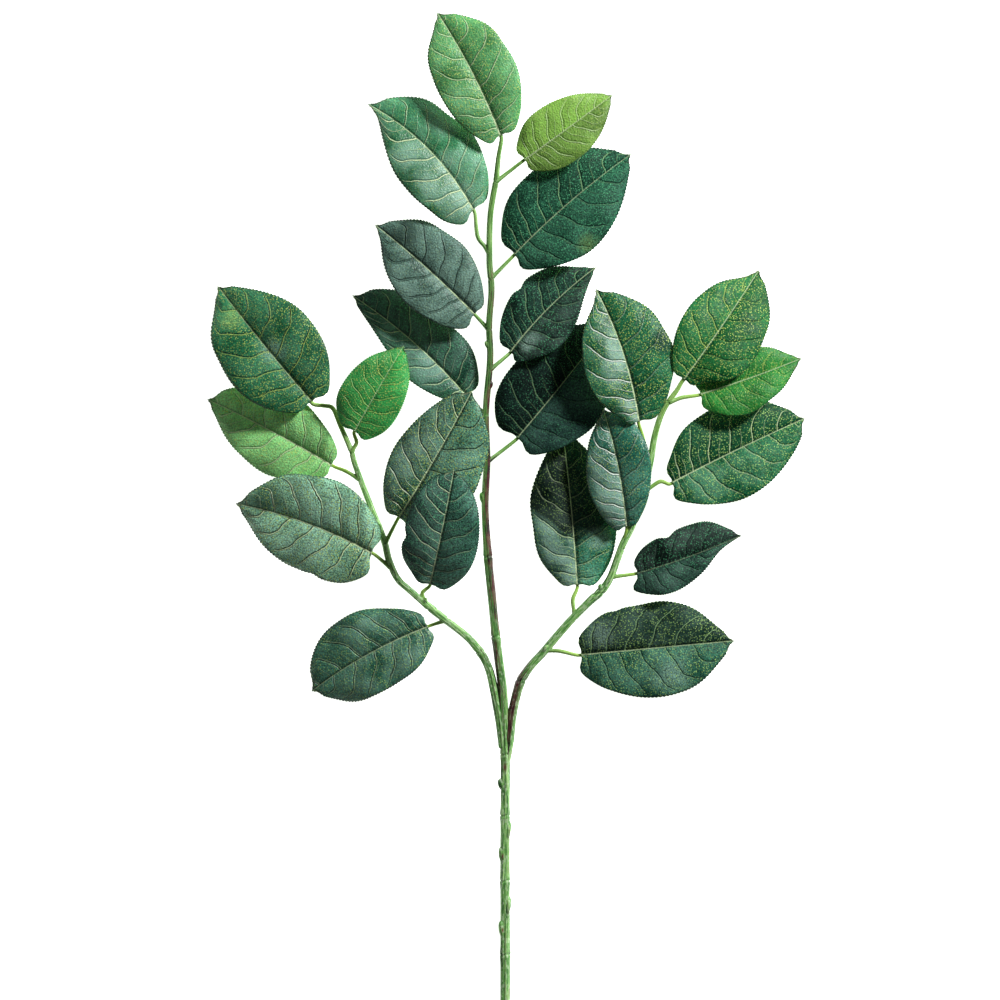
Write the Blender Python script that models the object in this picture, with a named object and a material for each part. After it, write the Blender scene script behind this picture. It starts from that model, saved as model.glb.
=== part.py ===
"""A cut branch of lemon leaf (salal), lying on a flat surface.

Three stems carry 23 leaves on short stalks. The branch lies along Y with its cut end at -Y, the upper
faces of its leaves look up along Z, and it rests on the cut end and on two drooping leaf tips. All sizes
are in millimetres.
"""

import math
from collections import namedtuple

import bmesh
import bpy
from mathutils import Matrix, Vector

MM = 0.001

# Driving dimensions of a leaf blade
BLADE_THICKNESS = 0.8
MIDRIB_DEPTH = 0.7
RIB_PUFF = 0.55
TOOTH_DEPTH = 0.8
RIPPLE_FULL_WIDTH = 12.0
VEIN_PAIRS = 6

# Shares of a blade's length or half-width, and the powers that round its outline and bend its veins
STATIONS = (0.05, 0.18, 0.38, 0.58, 0.78, 0.92)
INNER_COLUMNS = (0.38, 0.72)
LOBE_PLACE = 0.012
WIDEST_PLACE = 0.4
BASE_ROUNDNESS = 0.45
TIP_TAPER = 0.85
MIDRIB_TAPER = 0.7
RIPPLE_COUNT = 2.5
RIPPLE_SHIFT = 0.35
VEIN_SPREAD = 1.5
VEIN_ARCH = 0.65
VEIN_CURVE = 2.5
EDGE_SPREAD = 1.8
TOOTH_PEAK = 0.3
TOOTH_DIP = -0.7

# Driving dimensions of the stems and leaf stalks
SEAT_GAP = 0.35
SEAT_REACH = 0.025
STALK_ROOT_RADIUS = 1.75
STALK_RADIUS = 1.3
STALK_TIP_RADIUS = 1.1
STALK_FOOT = 5.0
STALK_FOOT_SHARE = 0.45
STEM_SIDES = 8
STALK_SIDES = 6
BUD_SIDES = 6
BUD_RINGS = 4
STEM_STEP = 8.0
STALK_STEP = 6.0
FORK_GAP = 0.3

Leaf = namedtuple("Leaf", "name colour base tip bow arch fold curl roll wave lobes left right notches")


def leaf(name, colour, base, tip, left, right, bow=0.0, arch=5.0, fold=0.36, curl=0.32, roll=0.0,
         wave=(1.0, 0.0), lobes=(2.0, 2.0), notches=()):
    """One blade: places of its base and tip, and half-widths at STATIONS on its left and right."""
    return Leaf(name, colour, Vector(base), Vector(tip), bow, arch, fold, curl, roll, wave, lobes, left,
                right, notches)


# Left and right are as seen from above, looking from the base of the leaf to its tip.
LEAVES = [
    leaf("leaf_centre_1", "light", (-4.2, 260.4, 43), (-48.3, 346.5, 35), bow=-2.5, arch=6, wave=(1.0, 0.3),
         left=(14, 22.5, 27, 26.5, 19.5, 6.5), right=(16, 24.5, 30, 29, 24, 11), lobes=(2.5, 1.5)),
    leaf("leaf_centre_2", "mid", (-23.1, 208.6, 38.5), (-96.6, 282.8, 27), bow=-7.5, arch=5, roll=0.13,
         wave=(1.4, 1.7), left=(19, 26.5, 30.5, 27, 14, 3), right=(18, 26, 30.5, 27, 24, 12),
         lobes=(3, 1.5)),
    leaf("leaf_centre_3", "young", (13.3, 243.6, 41), (74.2, 288.4, 45), bow=-0.4, arch=4, wave=(0.7, 2.0),
         left=(13, 20.5, 22.5, 20, 13.5, 5.5), right=(12.5, 19, 21.5, 20, 13.5, 5.5), lobes=(1.5, 1.5)),
    leaf("leaf_centre_4", "deep", (6.3, 177.8, 36), (87.5, 247.8, 25), bow=2.4, arch=5, roll=-0.1,
         wave=(1.2, 0.8), left=(19, 30, 33.5, 32, 25, 10.5), right=(18, 28.5, 35.5, 32.5, 21.5, 9),
         lobes=(1.5, 3)),
    leaf("leaf_centre_5", "dark", (-22.4, 135.8, 37), (-91.7, 198.1, 31), bow=-1.5, arch=6, roll=0.05,
         wave=(1.0, 2.6), left=(17, 24, 28, 25.5, 15.5, 4), right=(14, 23, 29, 27.5, 22, 9.5), lobes=(3, 1)),
    leaf("leaf_centre_6", "dark", (-28.0, 78.4, 30), (-107.8, 149.1, 14), bow=-3.8, arch=4, roll=0.1,
         wave=(1.2, 1.0), left=(10, 17.5, 21.5, 17, 10, 4.5), right=(17, 25.5, 26.5, 25.5, 22, 12),
         lobes=(1, 1.5)),
    leaf("leaf_centre_7", "deep", (3.5, 109.9, 33), (63.0, 168.7, 24), bow=2.9, arch=4, roll=-0.1,
         wave=(1.5, 0.0), left=(14, 21.5, 25.5, 24.5, 17, 5.5), right=(13, 21, 24.5, 20, 10, 3.5),
         lobes=(1.5, 3),
         notches=(("left", 0.42, 2.0, 0.05),)),
    leaf("leaf_centre_8", "deep", (8.4, 49.7, 30), (72.8, 130.2, 14), bow=-0.9, arch=4, roll=-0.05,
         wave=(1.0, 1.9), left=(23.5, 33, 35, 32.5, 23, 10), right=(21.5, 30.5, 36, 32.5, 22.5, 10),
         lobes=(3, 4.5)),
    leaf("leaf_left_1", "dark", (-136.5, 74.9, 31), (-203.0, 156.1, 0.8), bow=0.8, arch=10, wave=(1.0, 0.5),
         left=(18, 29, 34.5, 32, 23.5, 8), right=(20, 31, 36, 34, 22.5, 9.5), lobes=(1, 3)),
    leaf("leaf_left_2", "mid", (-122.5, 30.1, 28), (-210.0, 76.3, 5), bow=-1.4, arch=3, roll=-0.09,
         wave=(1.2, 2.2), left=(13.5, 22, 28.5, 25.5, 17, 6), right=(14, 22, 29, 28, 21, 11),
         lobes=(0.5, 0.5)),
    leaf("leaf_left_3", "young", (-105.7, 53.9, 36), (-71.4, 113.4, 40), bow=0.3, arch=4, wave=(0.7, 1.2),
         left=(14.5, 22, 23.5, 21, 14, 5), right=(13.5, 19.5, 21, 19, 13.5, 5.5), lobes=(1.5, 2.5)),
    leaf("leaf_left_4", "grey", (-94.5, -31.5, 33), (-189.7, 2.8, 14), bow=-4.3, arch=7, roll=-0.12,
         wave=(1.8, 0.9), left=(22, 31, 32.5, 30.5, 20, 7), right=(21, 31, 35.5, 32.5, 25.5, 11.5),
         lobes=(3, 3),
         notches=(("left", 0.33, 1.2, 0.04),)),
    leaf("leaf_left_5", "grey", (-74.9, -6.3, 35), (-23.8, 81.9, 45), bow=-1.2, arch=3, roll=-0.05,
         wave=(1.1, 2.9), left=(14.5, 23.5, 28.5, 26, 19, 10), right=(17.5, 29.5, 36, 33, 26, 11.5),
         lobes=(1, 2)),
    leaf("leaf_left_6", "deep", (-53.2, -53.2, 31), (-36.4, 26.6, 50), bow=-0.6, arch=7, wave=(1.2, 0.6),
         left=(12.5, 23, 26, 25, 20, 11.5), right=(16.5, 24.5, 27, 25, 19, 10), lobes=(0.5, 2),
         notches=(("left", 0.36, 2.0, 0.05),)),
    leaf("leaf_left_7", "deep", (-55.3, -83.3, 24.5), (-136.5, -128.8, 5), bow=-3.4, arch=5, wave=(1.3, 2.4),
         left=(13.5, 23, 27.5, 27.5, 22, 9.5), right=(14.5, 22.5, 30, 30.5, 25.5, 14), lobes=(1, 1)),
    leaf("leaf_right_1", "mottled", (92.8, 60.9, 38), (62.6, 153.3, 34), bow=-4.2, arch=5, roll=0.17,
         wave=(1.2, 1.4), left=(11, 23, 30, 27.5, 17.5, 4.5), right=(18, 27, 35, 32.5, 26, 12),
         lobes=(0.5, 3)),
    leaf("leaf_right_2", "light", (124.6, 90.3, 37), (178.1, 167.6, 0.8), bow=-0.7, arch=12, roll=0.06,
         wave=(1.0, 0.2), left=(13, 21.5, 26.5, 25, 16, 3.5), right=(12, 26, 32, 29.5, 22.5, 10),
         lobes=(0.5, 0.5)),
    leaf("leaf_right_3", "young", (136.5, 79.8, 32), (207.2, 105.0, 20), bow=-0.9, arch=3, roll=-0.15,
         wave=(0.9, 1.1), left=(13, 19, 21, 19.5, 14, 4.5), right=(14, 20.5, 23.5, 19.5, 13, 4.5),
         lobes=(1.5, 2)),
    leaf("leaf_right_4", "dark", (116.9, 18.2, 31), (210.0, 63.0, 8), bow=0.9, arch=3, roll=-0.08,
         wave=(1.3, 2.0), left=(15, 27.5, 33, 33, 24.5, 10.5), right=(17.5, 27, 33, 31, 22, 11),
         lobes=(0.5, 4)),
    leaf("leaf_right_5", "dark", (84.0, -12.6, 35), (67.9, 69.3, 31), bow=-2.3, arch=4, roll=-0.1,
         wave=(1.1, 1.6), left=(12, 19, 23, 21, 14.5, 5.5), right=(10, 17, 22, 23.5, 20, 13),
         lobes=(2, 0.5)),
    leaf("leaf_right_6", "deep", (49.7, -53.2, 24), (39.2, 58.1, 14), bow=-1.1, arch=2.5, wave=(1.0, 0.9),
         left=(14.5, 25, 28, 27.5, 17, 6.5), right=(18, 27, 31, 30, 20, 7), lobes=(0.5, 2)),
    leaf("leaf_right_7", "deep", (92.4, -45.5, 28), (165.2, -19.2, 16), bow=-1.4, arch=5, wave=(1.6, 0.4),
         left=(12, 18, 20.5, 21, 17, 7), right=(15.5, 20, 18.5, 12.5, 3.6, 0.8), lobes=(0.5, 7),
         notches=(("left", 0.36, 2.6, 0.06),)),
    leaf("leaf_right_8", "dark", (53.2, -102.9, 22), (160.6, -93.4, 4), bow=0.2, arch=6, wave=(1.3, 1.2),
         left=(18, 28, 31, 32, 23, 8.5), right=(18, 27.5, 34, 33.5, 25, 10.5), lobes=(1.5, 2),
         notches=(("left", 0.24, 1.2, 0.04),)),
]
LEAF = {entry.name: entry for entry in LEAVES}

# Each stem's centre line, from its lower end up: x, y, z and radius.
MAIN_STEM = [
    (-0.7, -346.5, 3.0, 3.05), (-0.7, -274.5, 6.5, 3.0), (-0.7, -204.5, 11, 2.95), (-0.7, -166, 14.5, 3.0),
    (-2.3, -129.5, 19.5, 2.9), (-6.8, -92.5, 24, 2.8), (-10.5, -57.5, 27, 2.7), (-12.6, -36.5, 28.5, 2.6),
    (-14.7, 0, 31, 2.3), (-13.3, 33.5, 33, 2.15), (-14, 68.5, 34.5, 2.05), (-11.2, 103.5, 36, 2.0),
    (-11.9, 128, 37, 1.95), (-10.2, 152.5, 37.5, 1.95), (-11.6, 173.5, 38, 1.9), (-10.9, 205, 39, 1.8),
    (-7, 229.5, 39.5, 1.7), (-5.3, 245.5, 40, 1.4),
]
LEFT_BRANCH = [
    (-2.7, -168, 14.6, 2.3), (-4.6, -149, 17, 2.8), (-8.2, -129, 19.5, 2.75), (-12.2, -112.5, 21.5, 2.65),
    (-18.8, -100, 23, 2.5), (-28.7, -89, 24, 2.4), (-48, -74, 26, 2.2), (-67, -58, 28, 2.1),
    (-76, -49.5, 29, 2.1), (-82, -36.5, 29.5, 2.05), (-85.5, -22.5, 30, 2.0), (-94.5, 0.5, 30.5, 1.9),
    (-105, 28.5, 31, 1.75), (-108.5, 40.5, 31, 1.65), (-116, 58, 30.5, 1.5), (-121, 69.5, 30, 1.4),
    (-126.5, 71.5, 29, 1.25),
]
RIGHT_BRANCH = [
    (0.2, -178, 13.3, 2.3), (2.2, -163, 15, 2.9), (3.6, -149, 16.8, 2.95), (5.6, -137.5, 18.2, 2.85),
    (8.3, -127, 19.5, 2.8),
    (11.2, -119.5, 20.5, 2.7), (17.5, -110.5, 21.5, 2.65), (26.3, -101, 22.5, 2.6), (36.4, -89, 24, 2.5),
    (47, -77, 25.5, 2.45), (57.5, -66.5, 27, 2.4), (67, -57.5, 28, 2.35), (73, -48.5, 29, 2.3),
    (77.5, -36.5, 30, 2.25), (82, -24.5, 30.5, 2.2), (89, -10.5, 31, 2.1), (96, 11, 32, 2.05),
    (101, 32, 33, 2.0), (103.3, 47, 33.5, 1.95), (106.5, 59.5, 34, 1.85), (110, 68.5, 34.5, 1.75),
    (114, 75, 35, 1.6), (119.5, 82.5, 35, 1.3),
]

# Leaf stalks: the leaf, the point on the stem's centre line, and a point between if the stalk bends.
MAIN_STALKS = [
    ("leaf_centre_2", (-12.3, 179, 38.2), (-20, 190, 37)),
    ("leaf_centre_3", (-7, 228, 39.5)),
    ("leaf_centre_4", (-10.8, 160, 37.7)),
    ("leaf_centre_5", (-11.9, 124.5, 36.8)),
    ("leaf_centre_6", (-13.7, 65, 34.4)),
    ("leaf_centre_7", (-11.2, 96.5, 35.8)),
    ("leaf_centre_8", (-13.3, 32, 33)),
]
LEFT_STALKS = [
    ("leaf_left_2", (-103, 20.5, 30.8), (-112.5, 26, 29.5)),
    ("leaf_left_3", (-108, 39, 31), (-104.5, 46, 32.5)),
    ("leaf_left_4", (-81, -41.5, 29.3)),
    ("leaf_left_5", (-84.5, -24.5, 30)),
    ("leaf_left_6", (-57.5, -66, 27), (-58.5, -59, 27.5)),
    ("leaf_left_7", (-41.5, -78.5, 25.2)),
]
RIGHT_STALKS = [
    ("leaf_right_1", (99.5, 25, 32.7), (96, 47.5, 32)),
    ("leaf_right_3", (114, 74, 35), (123.5, 77.3, 33.3)),
    ("leaf_right_4", (97, 12, 32), (108, 18.6, 31)),
    ("leaf_right_5", (81.5, -28, 30.3)),
    ("leaf_right_6", (48, -77, 25.5), (46.8, -64, 24)),
    ("leaf_right_7", (73, -48.5, 29)),
    ("leaf_right_8", (28, -99.5, 22.8), (39, -100.5, 22.5)),
]

# Buds and nubs: x, y, z, radius, how far it reaches along the stem and the direction that it points in.
MAIN_BUDS = [
    (-13.2, 114, 36.6, 1.4, 2.8, (-0.4, 1, 0.2)),
    (-10.8, 86, 35.6, 1.3, 2.6, (0.3, 1, 0.2)),
    (-3.6, -194, 12.5, 1.9, 4.0, (-0.25, 1, 0.3)),
    (-3.0, -244, 9.5, 1.9, 6.0, (-0.15, 1, 0.15)),
    (-3.0, -296, 7.0, 1.9, 6.0, (-0.15, 1, 0.15)),
    (1.5, -226, 10.5, 1.9, 6.0, (-0.1, -1, 0.1)),
    (1.6, -279, 7.6, 1.9, 6.0, (-0.1, -1, 0.1)),
    (-16.6, 7, 32, 1.7, 4.0, (-0.2, 1, 0.2)),
]
LEFT_BUDS = [
    (-56.6, -65.2, 28.2, 1.5, 2.8, (0.3, 1, 0.4)),
    (-88.5, -13, 31.5, 1.3, 2.4, (0.5, 1, 0.4)),
]
RIGHT_BUDS = [
    (66.2, -56, 29.0, 1.5, 2.8, (-0.2, 1, 0.5)),
    (27, -98.5, 25, 1.6, 3.0, (0.6, 0.8, 0.6)),
]

# Slightly swollen rings on the main stem, where old leaves stood: y and growth of the radius.
STEM_RINGS = ((-173, 0.14), (-216, 0.16), (-262, 0.16), (-314, 0.14))
RING_REACH = 5.0

COLOURS = {
    "light": (0.10, 0.30, 0.09),
    "mid": (0.08, 0.26, 0.10),
    "young": (0.14, 0.36, 0.04),
    "dark": (0.04, 0.15, 0.08),
    "deep": (0.02, 0.09, 0.05),
    "grey": (0.08, 0.19, 0.12),
    "mottled": (0.09, 0.21, 0.10),
    "stem": (0.12, 0.26, 0.08),
}
LEAF_ROUGHNESS = 0.45
STEM_ROUGHNESS = 0.5


def clear_scene():
    for old in list(bpy.data.objects):
        bpy.data.objects.remove(old, do_unlink=True)


def material(name, colour, roughness):
    finish = bpy.data.materials.get(name)
    if finish is None:
        finish = bpy.data.materials.new(name)
        finish.use_nodes = True
        shader = finish.node_tree.nodes["Principled BSDF"]
        shader.inputs["Base Color"].default_value = (*colour, 1.0)
        shader.inputs["Roughness"].default_value = roughness
        shader.inputs["Metallic"].default_value = 0.0
    return finish


def add_object(name, form, finish):
    """Turns a bmesh in millimetres into a named object in metres."""
    bmesh.ops.recalc_face_normals(form, faces=form.faces[:])
    bmesh.ops.transform(form, matrix=Matrix.Scale(MM, 4), verts=form.verts[:])
    mesh = bpy.data.meshes.new(name)
    form.to_mesh(mesh)
    form.free()
    item = bpy.data.objects.new(name, mesh)
    mesh.materials.append(finish)
    bpy.context.scene.collection.objects.link(item)
    return item


# The form of a leaf

def envelope(e):
    """Half-width of a plain leaf with a round base and a pointed tip."""
    return max(e, 0.0) ** BASE_ROUNDNESS * max(1.0 - e, 0.0) ** TIP_TAPER


def smooth_value(places, values, x):
    """A smooth curve through the values at the places, level beyond its ends."""
    if x <= places[0]:
        return values[0]
    if x >= places[-1]:
        return values[-1]
    last = len(places) - 1
    k = max(i for i in range(last) if places[i] <= x)
    slopes = []
    for i in (k, k + 1):
        low, high = max(i - 1, 0), min(i + 1, last)
        slopes.append((values[high] - values[low]) / (places[high] - places[low]))
    span = places[k + 1] - places[k]
    t = (x - places[k]) / span
    return (values[k] * (1 + 2 * t) * (1 - t) ** 2 + span * slopes[0] * t * (1 - t) ** 2
            + values[k + 1] * t * t * (3 - 2 * t) - span * slopes[1] * t * t * (1 - t))


def half_width(entry, side, e):
    """Half-width on one side, at the part e of the way from base to tip."""
    widths = entry.left if side > 0 else entry.right
    ratios = [w / envelope(s) for w, s in zip(widths, STATIONS)]
    width = envelope(e) * smooth_value(STATIONS, ratios, e)
    for where, place, depth, reach in entry.notches:
        if (where == "left") == (side > 0):
            width -= depth * math.exp(-((e - place) / reach) ** 2)
    return width


def leaf_axes(entry):
    """Length in plan, the directions along and to the left in plan, and the blade's mean normal."""
    chord = entry.tip - entry.base
    length = math.hypot(chord.x, chord.y)
    along = Vector((chord.x / length, chord.y / length, 0))
    left = Vector((-along.y, along.x, 0))
    rise = Vector((0, 0, 1))
    normal = (along * length + rise * chord.z).cross(left + rise * entry.roll).normalized()
    return length, along, left, normal


def leaf_point(entry, e, v, side):
    """A point on the upper face: e along the leaf, v from 0 at the midrib to 1 at the edge."""
    length, along, left, _ = leaf_axes(entry)
    lobe = entry.lobes[0 if side > 0 else 1]
    near_base = max(e, 0.0) / LOBE_PLACE
    back = (lobe + LOBE_PLACE * length) * near_base * math.exp(1 - near_base) * v * v
    bulge = 4 * e * (1 - e)
    h = half_width(entry, side, e)
    point = entry.base + along * (e * length - back) + left * (entry.bow * bulge + side * v * h)
    size, turn = entry.wave
    phase = 2 * math.pi * (RIPPLE_COUNT * e + RIPPLE_SHIFT * side) + turn
    ripple = size * v * v * math.sin(phase) * min(1.0, h / RIPPLE_FULL_WIDTH)
    point.z = (entry.base.z + (entry.tip.z - entry.base.z) * e + entry.arch * bulge
               + h * (entry.fold * v - entry.curl * v * v) + entry.roll * side * v * h + ripple)
    return point


def vein_place(s, v):
    """How far along the leaf a side vein has come: s numbers it, and v runs out to the edge."""
    root = s ** VEIN_SPREAD
    end = 1 - (1 - root) ** 2
    return root + (end - root) * ((1 - VEIN_ARCH) * v + VEIN_ARCH * v ** VEIN_CURVE)


def edge_place(s):
    """The part of the way to the tip where an edge point stands, closer together round the base."""
    return 1 - (1 - s ** EDGE_SPREAD) ** 2


def midrib_depth(e):
    return MIDRIB_DEPTH * (1 - e) ** MIDRIB_TAPER


def build_leaf(entry):
    """A closed blade whose rows follow the side veins, split alike on both faces."""
    rows = 2 * VEIN_PAIRS
    _, _, _, normal = leaf_axes(entry)
    form = bmesh.new()

    def pair(point, under=0.0):
        return form.verts.new(point), form.verts.new(point - normal * (BLADE_THICKNESS + under))

    base = pair(leaf_point(entry, 0, 0, 1), midrib_depth(0))
    tip = pair(leaf_point(entry, 1, 0, 1))
    midrib = [base]
    for k in range(1, rows):
        e = vein_place(k / rows, 0)
        midrib.append(pair(leaf_point(entry, e, 0, 1), midrib_depth(e)))
    midrib.append(tip)

    triangles = []
    for side in (1, -1):
        columns = [midrib]
        for v in INNER_COLUMNS:
            column = [base]
            for k in range(1, rows):
                point = leaf_point(entry, vein_place(k / rows, v), v, side)
                puffed = RIB_PUFF if k % 2 else 0.0
                column.append(pair(point + normal * puffed))
            column.append(tip)
            columns.append(column)
        edge = [base]
        for j in range(1, 2 * rows):
            step = TOOTH_PEAK if j % 2 else TOOTH_DIP
            tooth = TOOTH_DEPTH * step / half_width(entry, side, WIDEST_PLACE)
            edge.append(pair(leaf_point(entry, edge_place(j / (2 * rows)), 1 + tooth, side)))
        edge.append(tip)

        for inner, outer in zip(columns, columns[1:]):
            for k in range(rows):
                triangles.append((inner[k], outer[k], outer[k + 1]))
                triangles.append((inner[k], outer[k + 1], inner[k + 1]))
        last = columns[-1]
        for k in range(rows):
            triangles.append((last[k], edge[2 * k], edge[2 * k + 1]))
            triangles.append((last[k], edge[2 * k + 1], last[k + 1]))
            triangles.append((last[k + 1], edge[2 * k + 1], edge[2 * k + 2]))
        for first, second in zip(edge, edge[1:]):
            form.faces.new((first[0], second[0], second[1]))
            form.faces.new((first[0], second[1], first[1]))

    for corners in triangles:
        if len(set(corners)) == 3:
            for face in (0, 1):
                form.faces.new([corner[face] for corner in corners])
    finish = material("leaf " + entry.colour, COLOURS[entry.colour], LEAF_ROUGHNESS)
    return add_object(entry.name, form, finish)


# The form of stems, stalks and buds

def smooth_path(points, step):
    """Points a step apart on a smooth curve through the given ones, each with its radius."""
    points = [Vector(p) for p in points]
    path = []
    for k in range(len(points) - 1):
        p0, p1, p2, p3 = (points[min(max(i, 0), len(points) - 1)] for i in (k - 1, k, k + 1, k + 2))
        count = max(1, round((p2.xyz - p1.xyz).length / step))
        for i in range(count):
            t = i / count
            path.append(0.5 * (2 * p1 + (p2 - p0) * t + (2 * p0 - 5 * p1 + 4 * p2 - p3) * t ** 2
                               + (3 * p1 - p0 - 3 * p2 + p3) * t ** 3))
    path.append(points[-1])
    return path


def tube_form(path, sides, grow=0.0):
    """A closed tube along a path of points with radii, its flat ends filled."""
    form = bmesh.new()
    places = [p.xyz for p in path]
    across = Vector((1, 0, 0))
    rings = []
    for k, place in enumerate(places):
        ahead = (places[min(k + 1, len(places) - 1)] - places[max(k - 1, 0)]).normalized()
        across = (across - ahead * across.dot(ahead)).normalized()
        up = ahead.cross(across)
        ring = []
        for i in range(sides):
            angle = 2 * math.pi * (i + 0.5) / sides
            ring.append(form.verts.new(place + (across * math.cos(angle) + up * math.sin(angle))
                                       * (path[k].w + grow)))
        rings.append(ring)
    for ring, following in zip(rings, rings[1:]):
        for i in range(sides):
            j = (i + 1) % sides
            form.faces.new((ring[i], ring[j], following[j], following[i]))
    form.faces.new(rings[0])
    form.faces.new(rings[-1])
    bmesh.ops.triangulate(form, faces=form.faces[:])
    return form


def bud_form(x, y, z, radius, reach, direction):
    """A pointed egg, longer along the stem."""
    form = bmesh.new()
    bmesh.ops.create_uvsphere(form, u_segments=BUD_SIDES, v_segments=BUD_RINGS, radius=radius)
    stretch = Matrix.Diagonal((1, 1, reach / radius, 1))
    turn = Vector(direction).to_track_quat("Z", "Y").to_matrix().to_4x4()
    bmesh.ops.transform(form, matrix=Matrix.Translation((x, y, z)) @ turn @ stretch, verts=form.verts[:])
    bmesh.ops.triangulate(form, faces=form.faces[:])
    return form


def leaf_seat(entry):
    """Two points on the stalk's centre line where it lies along the underside of the leaf's base."""
    _, _, _, normal = leaf_axes(entry)
    base = leaf_point(entry, 0, 0, 1)
    ahead = leaf_point(entry, SEAT_REACH, 0, 1)
    drop = normal * (BLADE_THICKNESS + MIDRIB_DEPTH + SEAT_GAP + STALK_TIP_RADIUS)
    back = base - (ahead - base) - drop
    front = ahead - drop
    return (*back, STALK_TIP_RADIUS), (*front, STALK_TIP_RADIUS)


def stalk_path(stalk):
    """The path of one leaf stalk, thicker where it leaves the stem."""
    name, root, *between = stalk
    seat = leaf_seat(LEAF[name])
    root = Vector((*root, STALK_ROOT_RADIUS))
    bends = [Vector((*p, STALK_RADIUS)) for p in between]
    ahead = bends[0] if bends else Vector(seat[0])
    reach = (ahead.xyz - root.xyz).length
    foot = root.lerp(ahead, min(STALK_FOOT_SHARE, STALK_FOOT / reach))
    foot.w = STALK_RADIUS
    return smooth_path([root, foot, *bends, *seat], STALK_STEP)


def join_forms(host, forms):
    """Fuses the forms into the host object with one union."""
    group = bpy.data.collections.new("parts of " + host.name)
    bpy.context.scene.collection.children.link(group)
    for number, form in enumerate(forms):
        piece = add_object(f"{host.name} part {number}", form, host.data.materials[0])
        bpy.context.scene.collection.objects.unlink(piece)
        group.objects.link(piece)
    union = host.modifiers.new("union", "BOOLEAN")
    union.operation = "UNION"
    union.operand_type = "COLLECTION"
    union.collection = group
    union.solver = "EXACT"
    apply_modifier(host, union)
    for piece in list(group.objects):
        bpy.data.objects.remove(piece, do_unlink=True)
    bpy.data.collections.remove(group)


def cut_away(host, form):
    """Takes a form out of the host object."""
    cutter = add_object("cutter", form, host.data.materials[0])
    difference = host.modifiers.new("cut", "BOOLEAN")
    difference.operation = "DIFFERENCE"
    difference.object = cutter
    difference.solver = "EXACT"
    apply_modifier(host, difference)
    bpy.data.objects.remove(cutter, do_unlink=True)


def apply_modifier(host, modifier):
    bpy.context.view_layer.update()
    with bpy.context.temp_override(object=host, active_object=host):
        bpy.ops.object.modifier_apply(modifier=modifier.name)


def swell_rings(path):
    """Adds the swollen rings to a path along the main stem."""
    swollen = []
    for point in path:
        grow = sum(size * math.exp(-((point.y - y) / RING_REACH) ** 2) for y, size in STEM_RINGS)
        swollen.append(Vector((*point.xyz, point.w * (1 + grow))))
    return swollen


def build_stem(name, path, stalks, buds):
    finish = material("stem green", COLOURS["stem"], STEM_ROUGHNESS)
    stem = add_object(name, tube_form(path, STEM_SIDES), finish)
    forms = [tube_form(stalk_path(stalk), STALK_SIDES) for stalk in stalks]
    forms += [bud_form(*bud) for bud in buds]
    join_forms(stem, forms)
    return stem


clear_scene()
main_path = swell_rings(smooth_path([*MAIN_STEM, *leaf_seat(LEAF["leaf_centre_1"])], STEM_STEP))
left_path = smooth_path([*LEFT_BRANCH, *leaf_seat(LEAF["leaf_left_1"])], STEM_STEP)
right_path = smooth_path([*RIGHT_BRANCH, *leaf_seat(LEAF["leaf_right_2"])], STEM_STEP)

build_stem("main_stem", main_path, MAIN_STALKS, MAIN_BUDS)
for branch in (
    build_stem("left_branch", left_path, LEFT_STALKS, LEFT_BUDS),
    build_stem("right_branch", right_path, RIGHT_STALKS, RIGHT_BUDS),
):
    cut_away(branch, tube_form(main_path, STEM_SIDES, FORK_GAP))
for entry in LEAVES:
    build_leaf(entry)
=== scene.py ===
# %% [markdown]
# # A branch of lemon leaf
# Florists call the leathery evergreen salal "lemon leaf". The branch lies on a table with its cut end towards us.
# It has one main stem, two side stems and 23 oval leaves, and each leaf sits on a short stalk. The solids of the
# branch are loaded first. They fix the place and size of everything, and each one is then dressed with a finer
# piece of its own.

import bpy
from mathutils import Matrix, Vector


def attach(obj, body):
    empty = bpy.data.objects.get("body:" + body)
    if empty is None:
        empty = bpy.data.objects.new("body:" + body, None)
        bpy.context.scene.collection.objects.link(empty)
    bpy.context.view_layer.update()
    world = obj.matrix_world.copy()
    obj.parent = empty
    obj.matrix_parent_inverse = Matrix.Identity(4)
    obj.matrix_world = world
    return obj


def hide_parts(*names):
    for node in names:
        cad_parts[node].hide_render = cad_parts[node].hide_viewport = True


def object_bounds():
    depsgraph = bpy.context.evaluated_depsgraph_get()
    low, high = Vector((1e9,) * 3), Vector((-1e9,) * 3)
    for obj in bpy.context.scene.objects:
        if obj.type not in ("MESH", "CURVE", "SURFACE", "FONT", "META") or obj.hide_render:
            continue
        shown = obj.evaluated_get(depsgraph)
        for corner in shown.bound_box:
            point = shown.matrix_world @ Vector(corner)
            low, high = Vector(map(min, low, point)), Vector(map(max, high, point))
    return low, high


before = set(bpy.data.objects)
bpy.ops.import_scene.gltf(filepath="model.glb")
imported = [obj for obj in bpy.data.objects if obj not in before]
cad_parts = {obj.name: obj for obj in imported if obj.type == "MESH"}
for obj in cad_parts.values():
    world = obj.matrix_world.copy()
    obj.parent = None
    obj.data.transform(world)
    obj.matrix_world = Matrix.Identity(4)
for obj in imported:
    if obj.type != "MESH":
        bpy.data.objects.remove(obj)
solid_low, solid_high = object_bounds()
print("solids:", len(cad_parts), "size in mm:", [round(1000 * s) for s in solid_high - solid_low])

# %% [markdown]
# The shapes below are worked out in millimetres, because a leaf and a stem are read most easily that way. One
# factor turns them to metres when they become meshes.

# %% Tools and units
import math
from collections import namedtuple

import bpy
import numpy as np
from mathutils import Vector

MM = 0.001


def clear_selection():
    """Deselects everything, so that an operator acts on the new piece alone."""
    if bpy.context.object and bpy.context.object.mode != "OBJECT":
        bpy.ops.object.mode_set(mode="OBJECT")
    bpy.ops.object.select_all(action="DESELECT")


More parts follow.
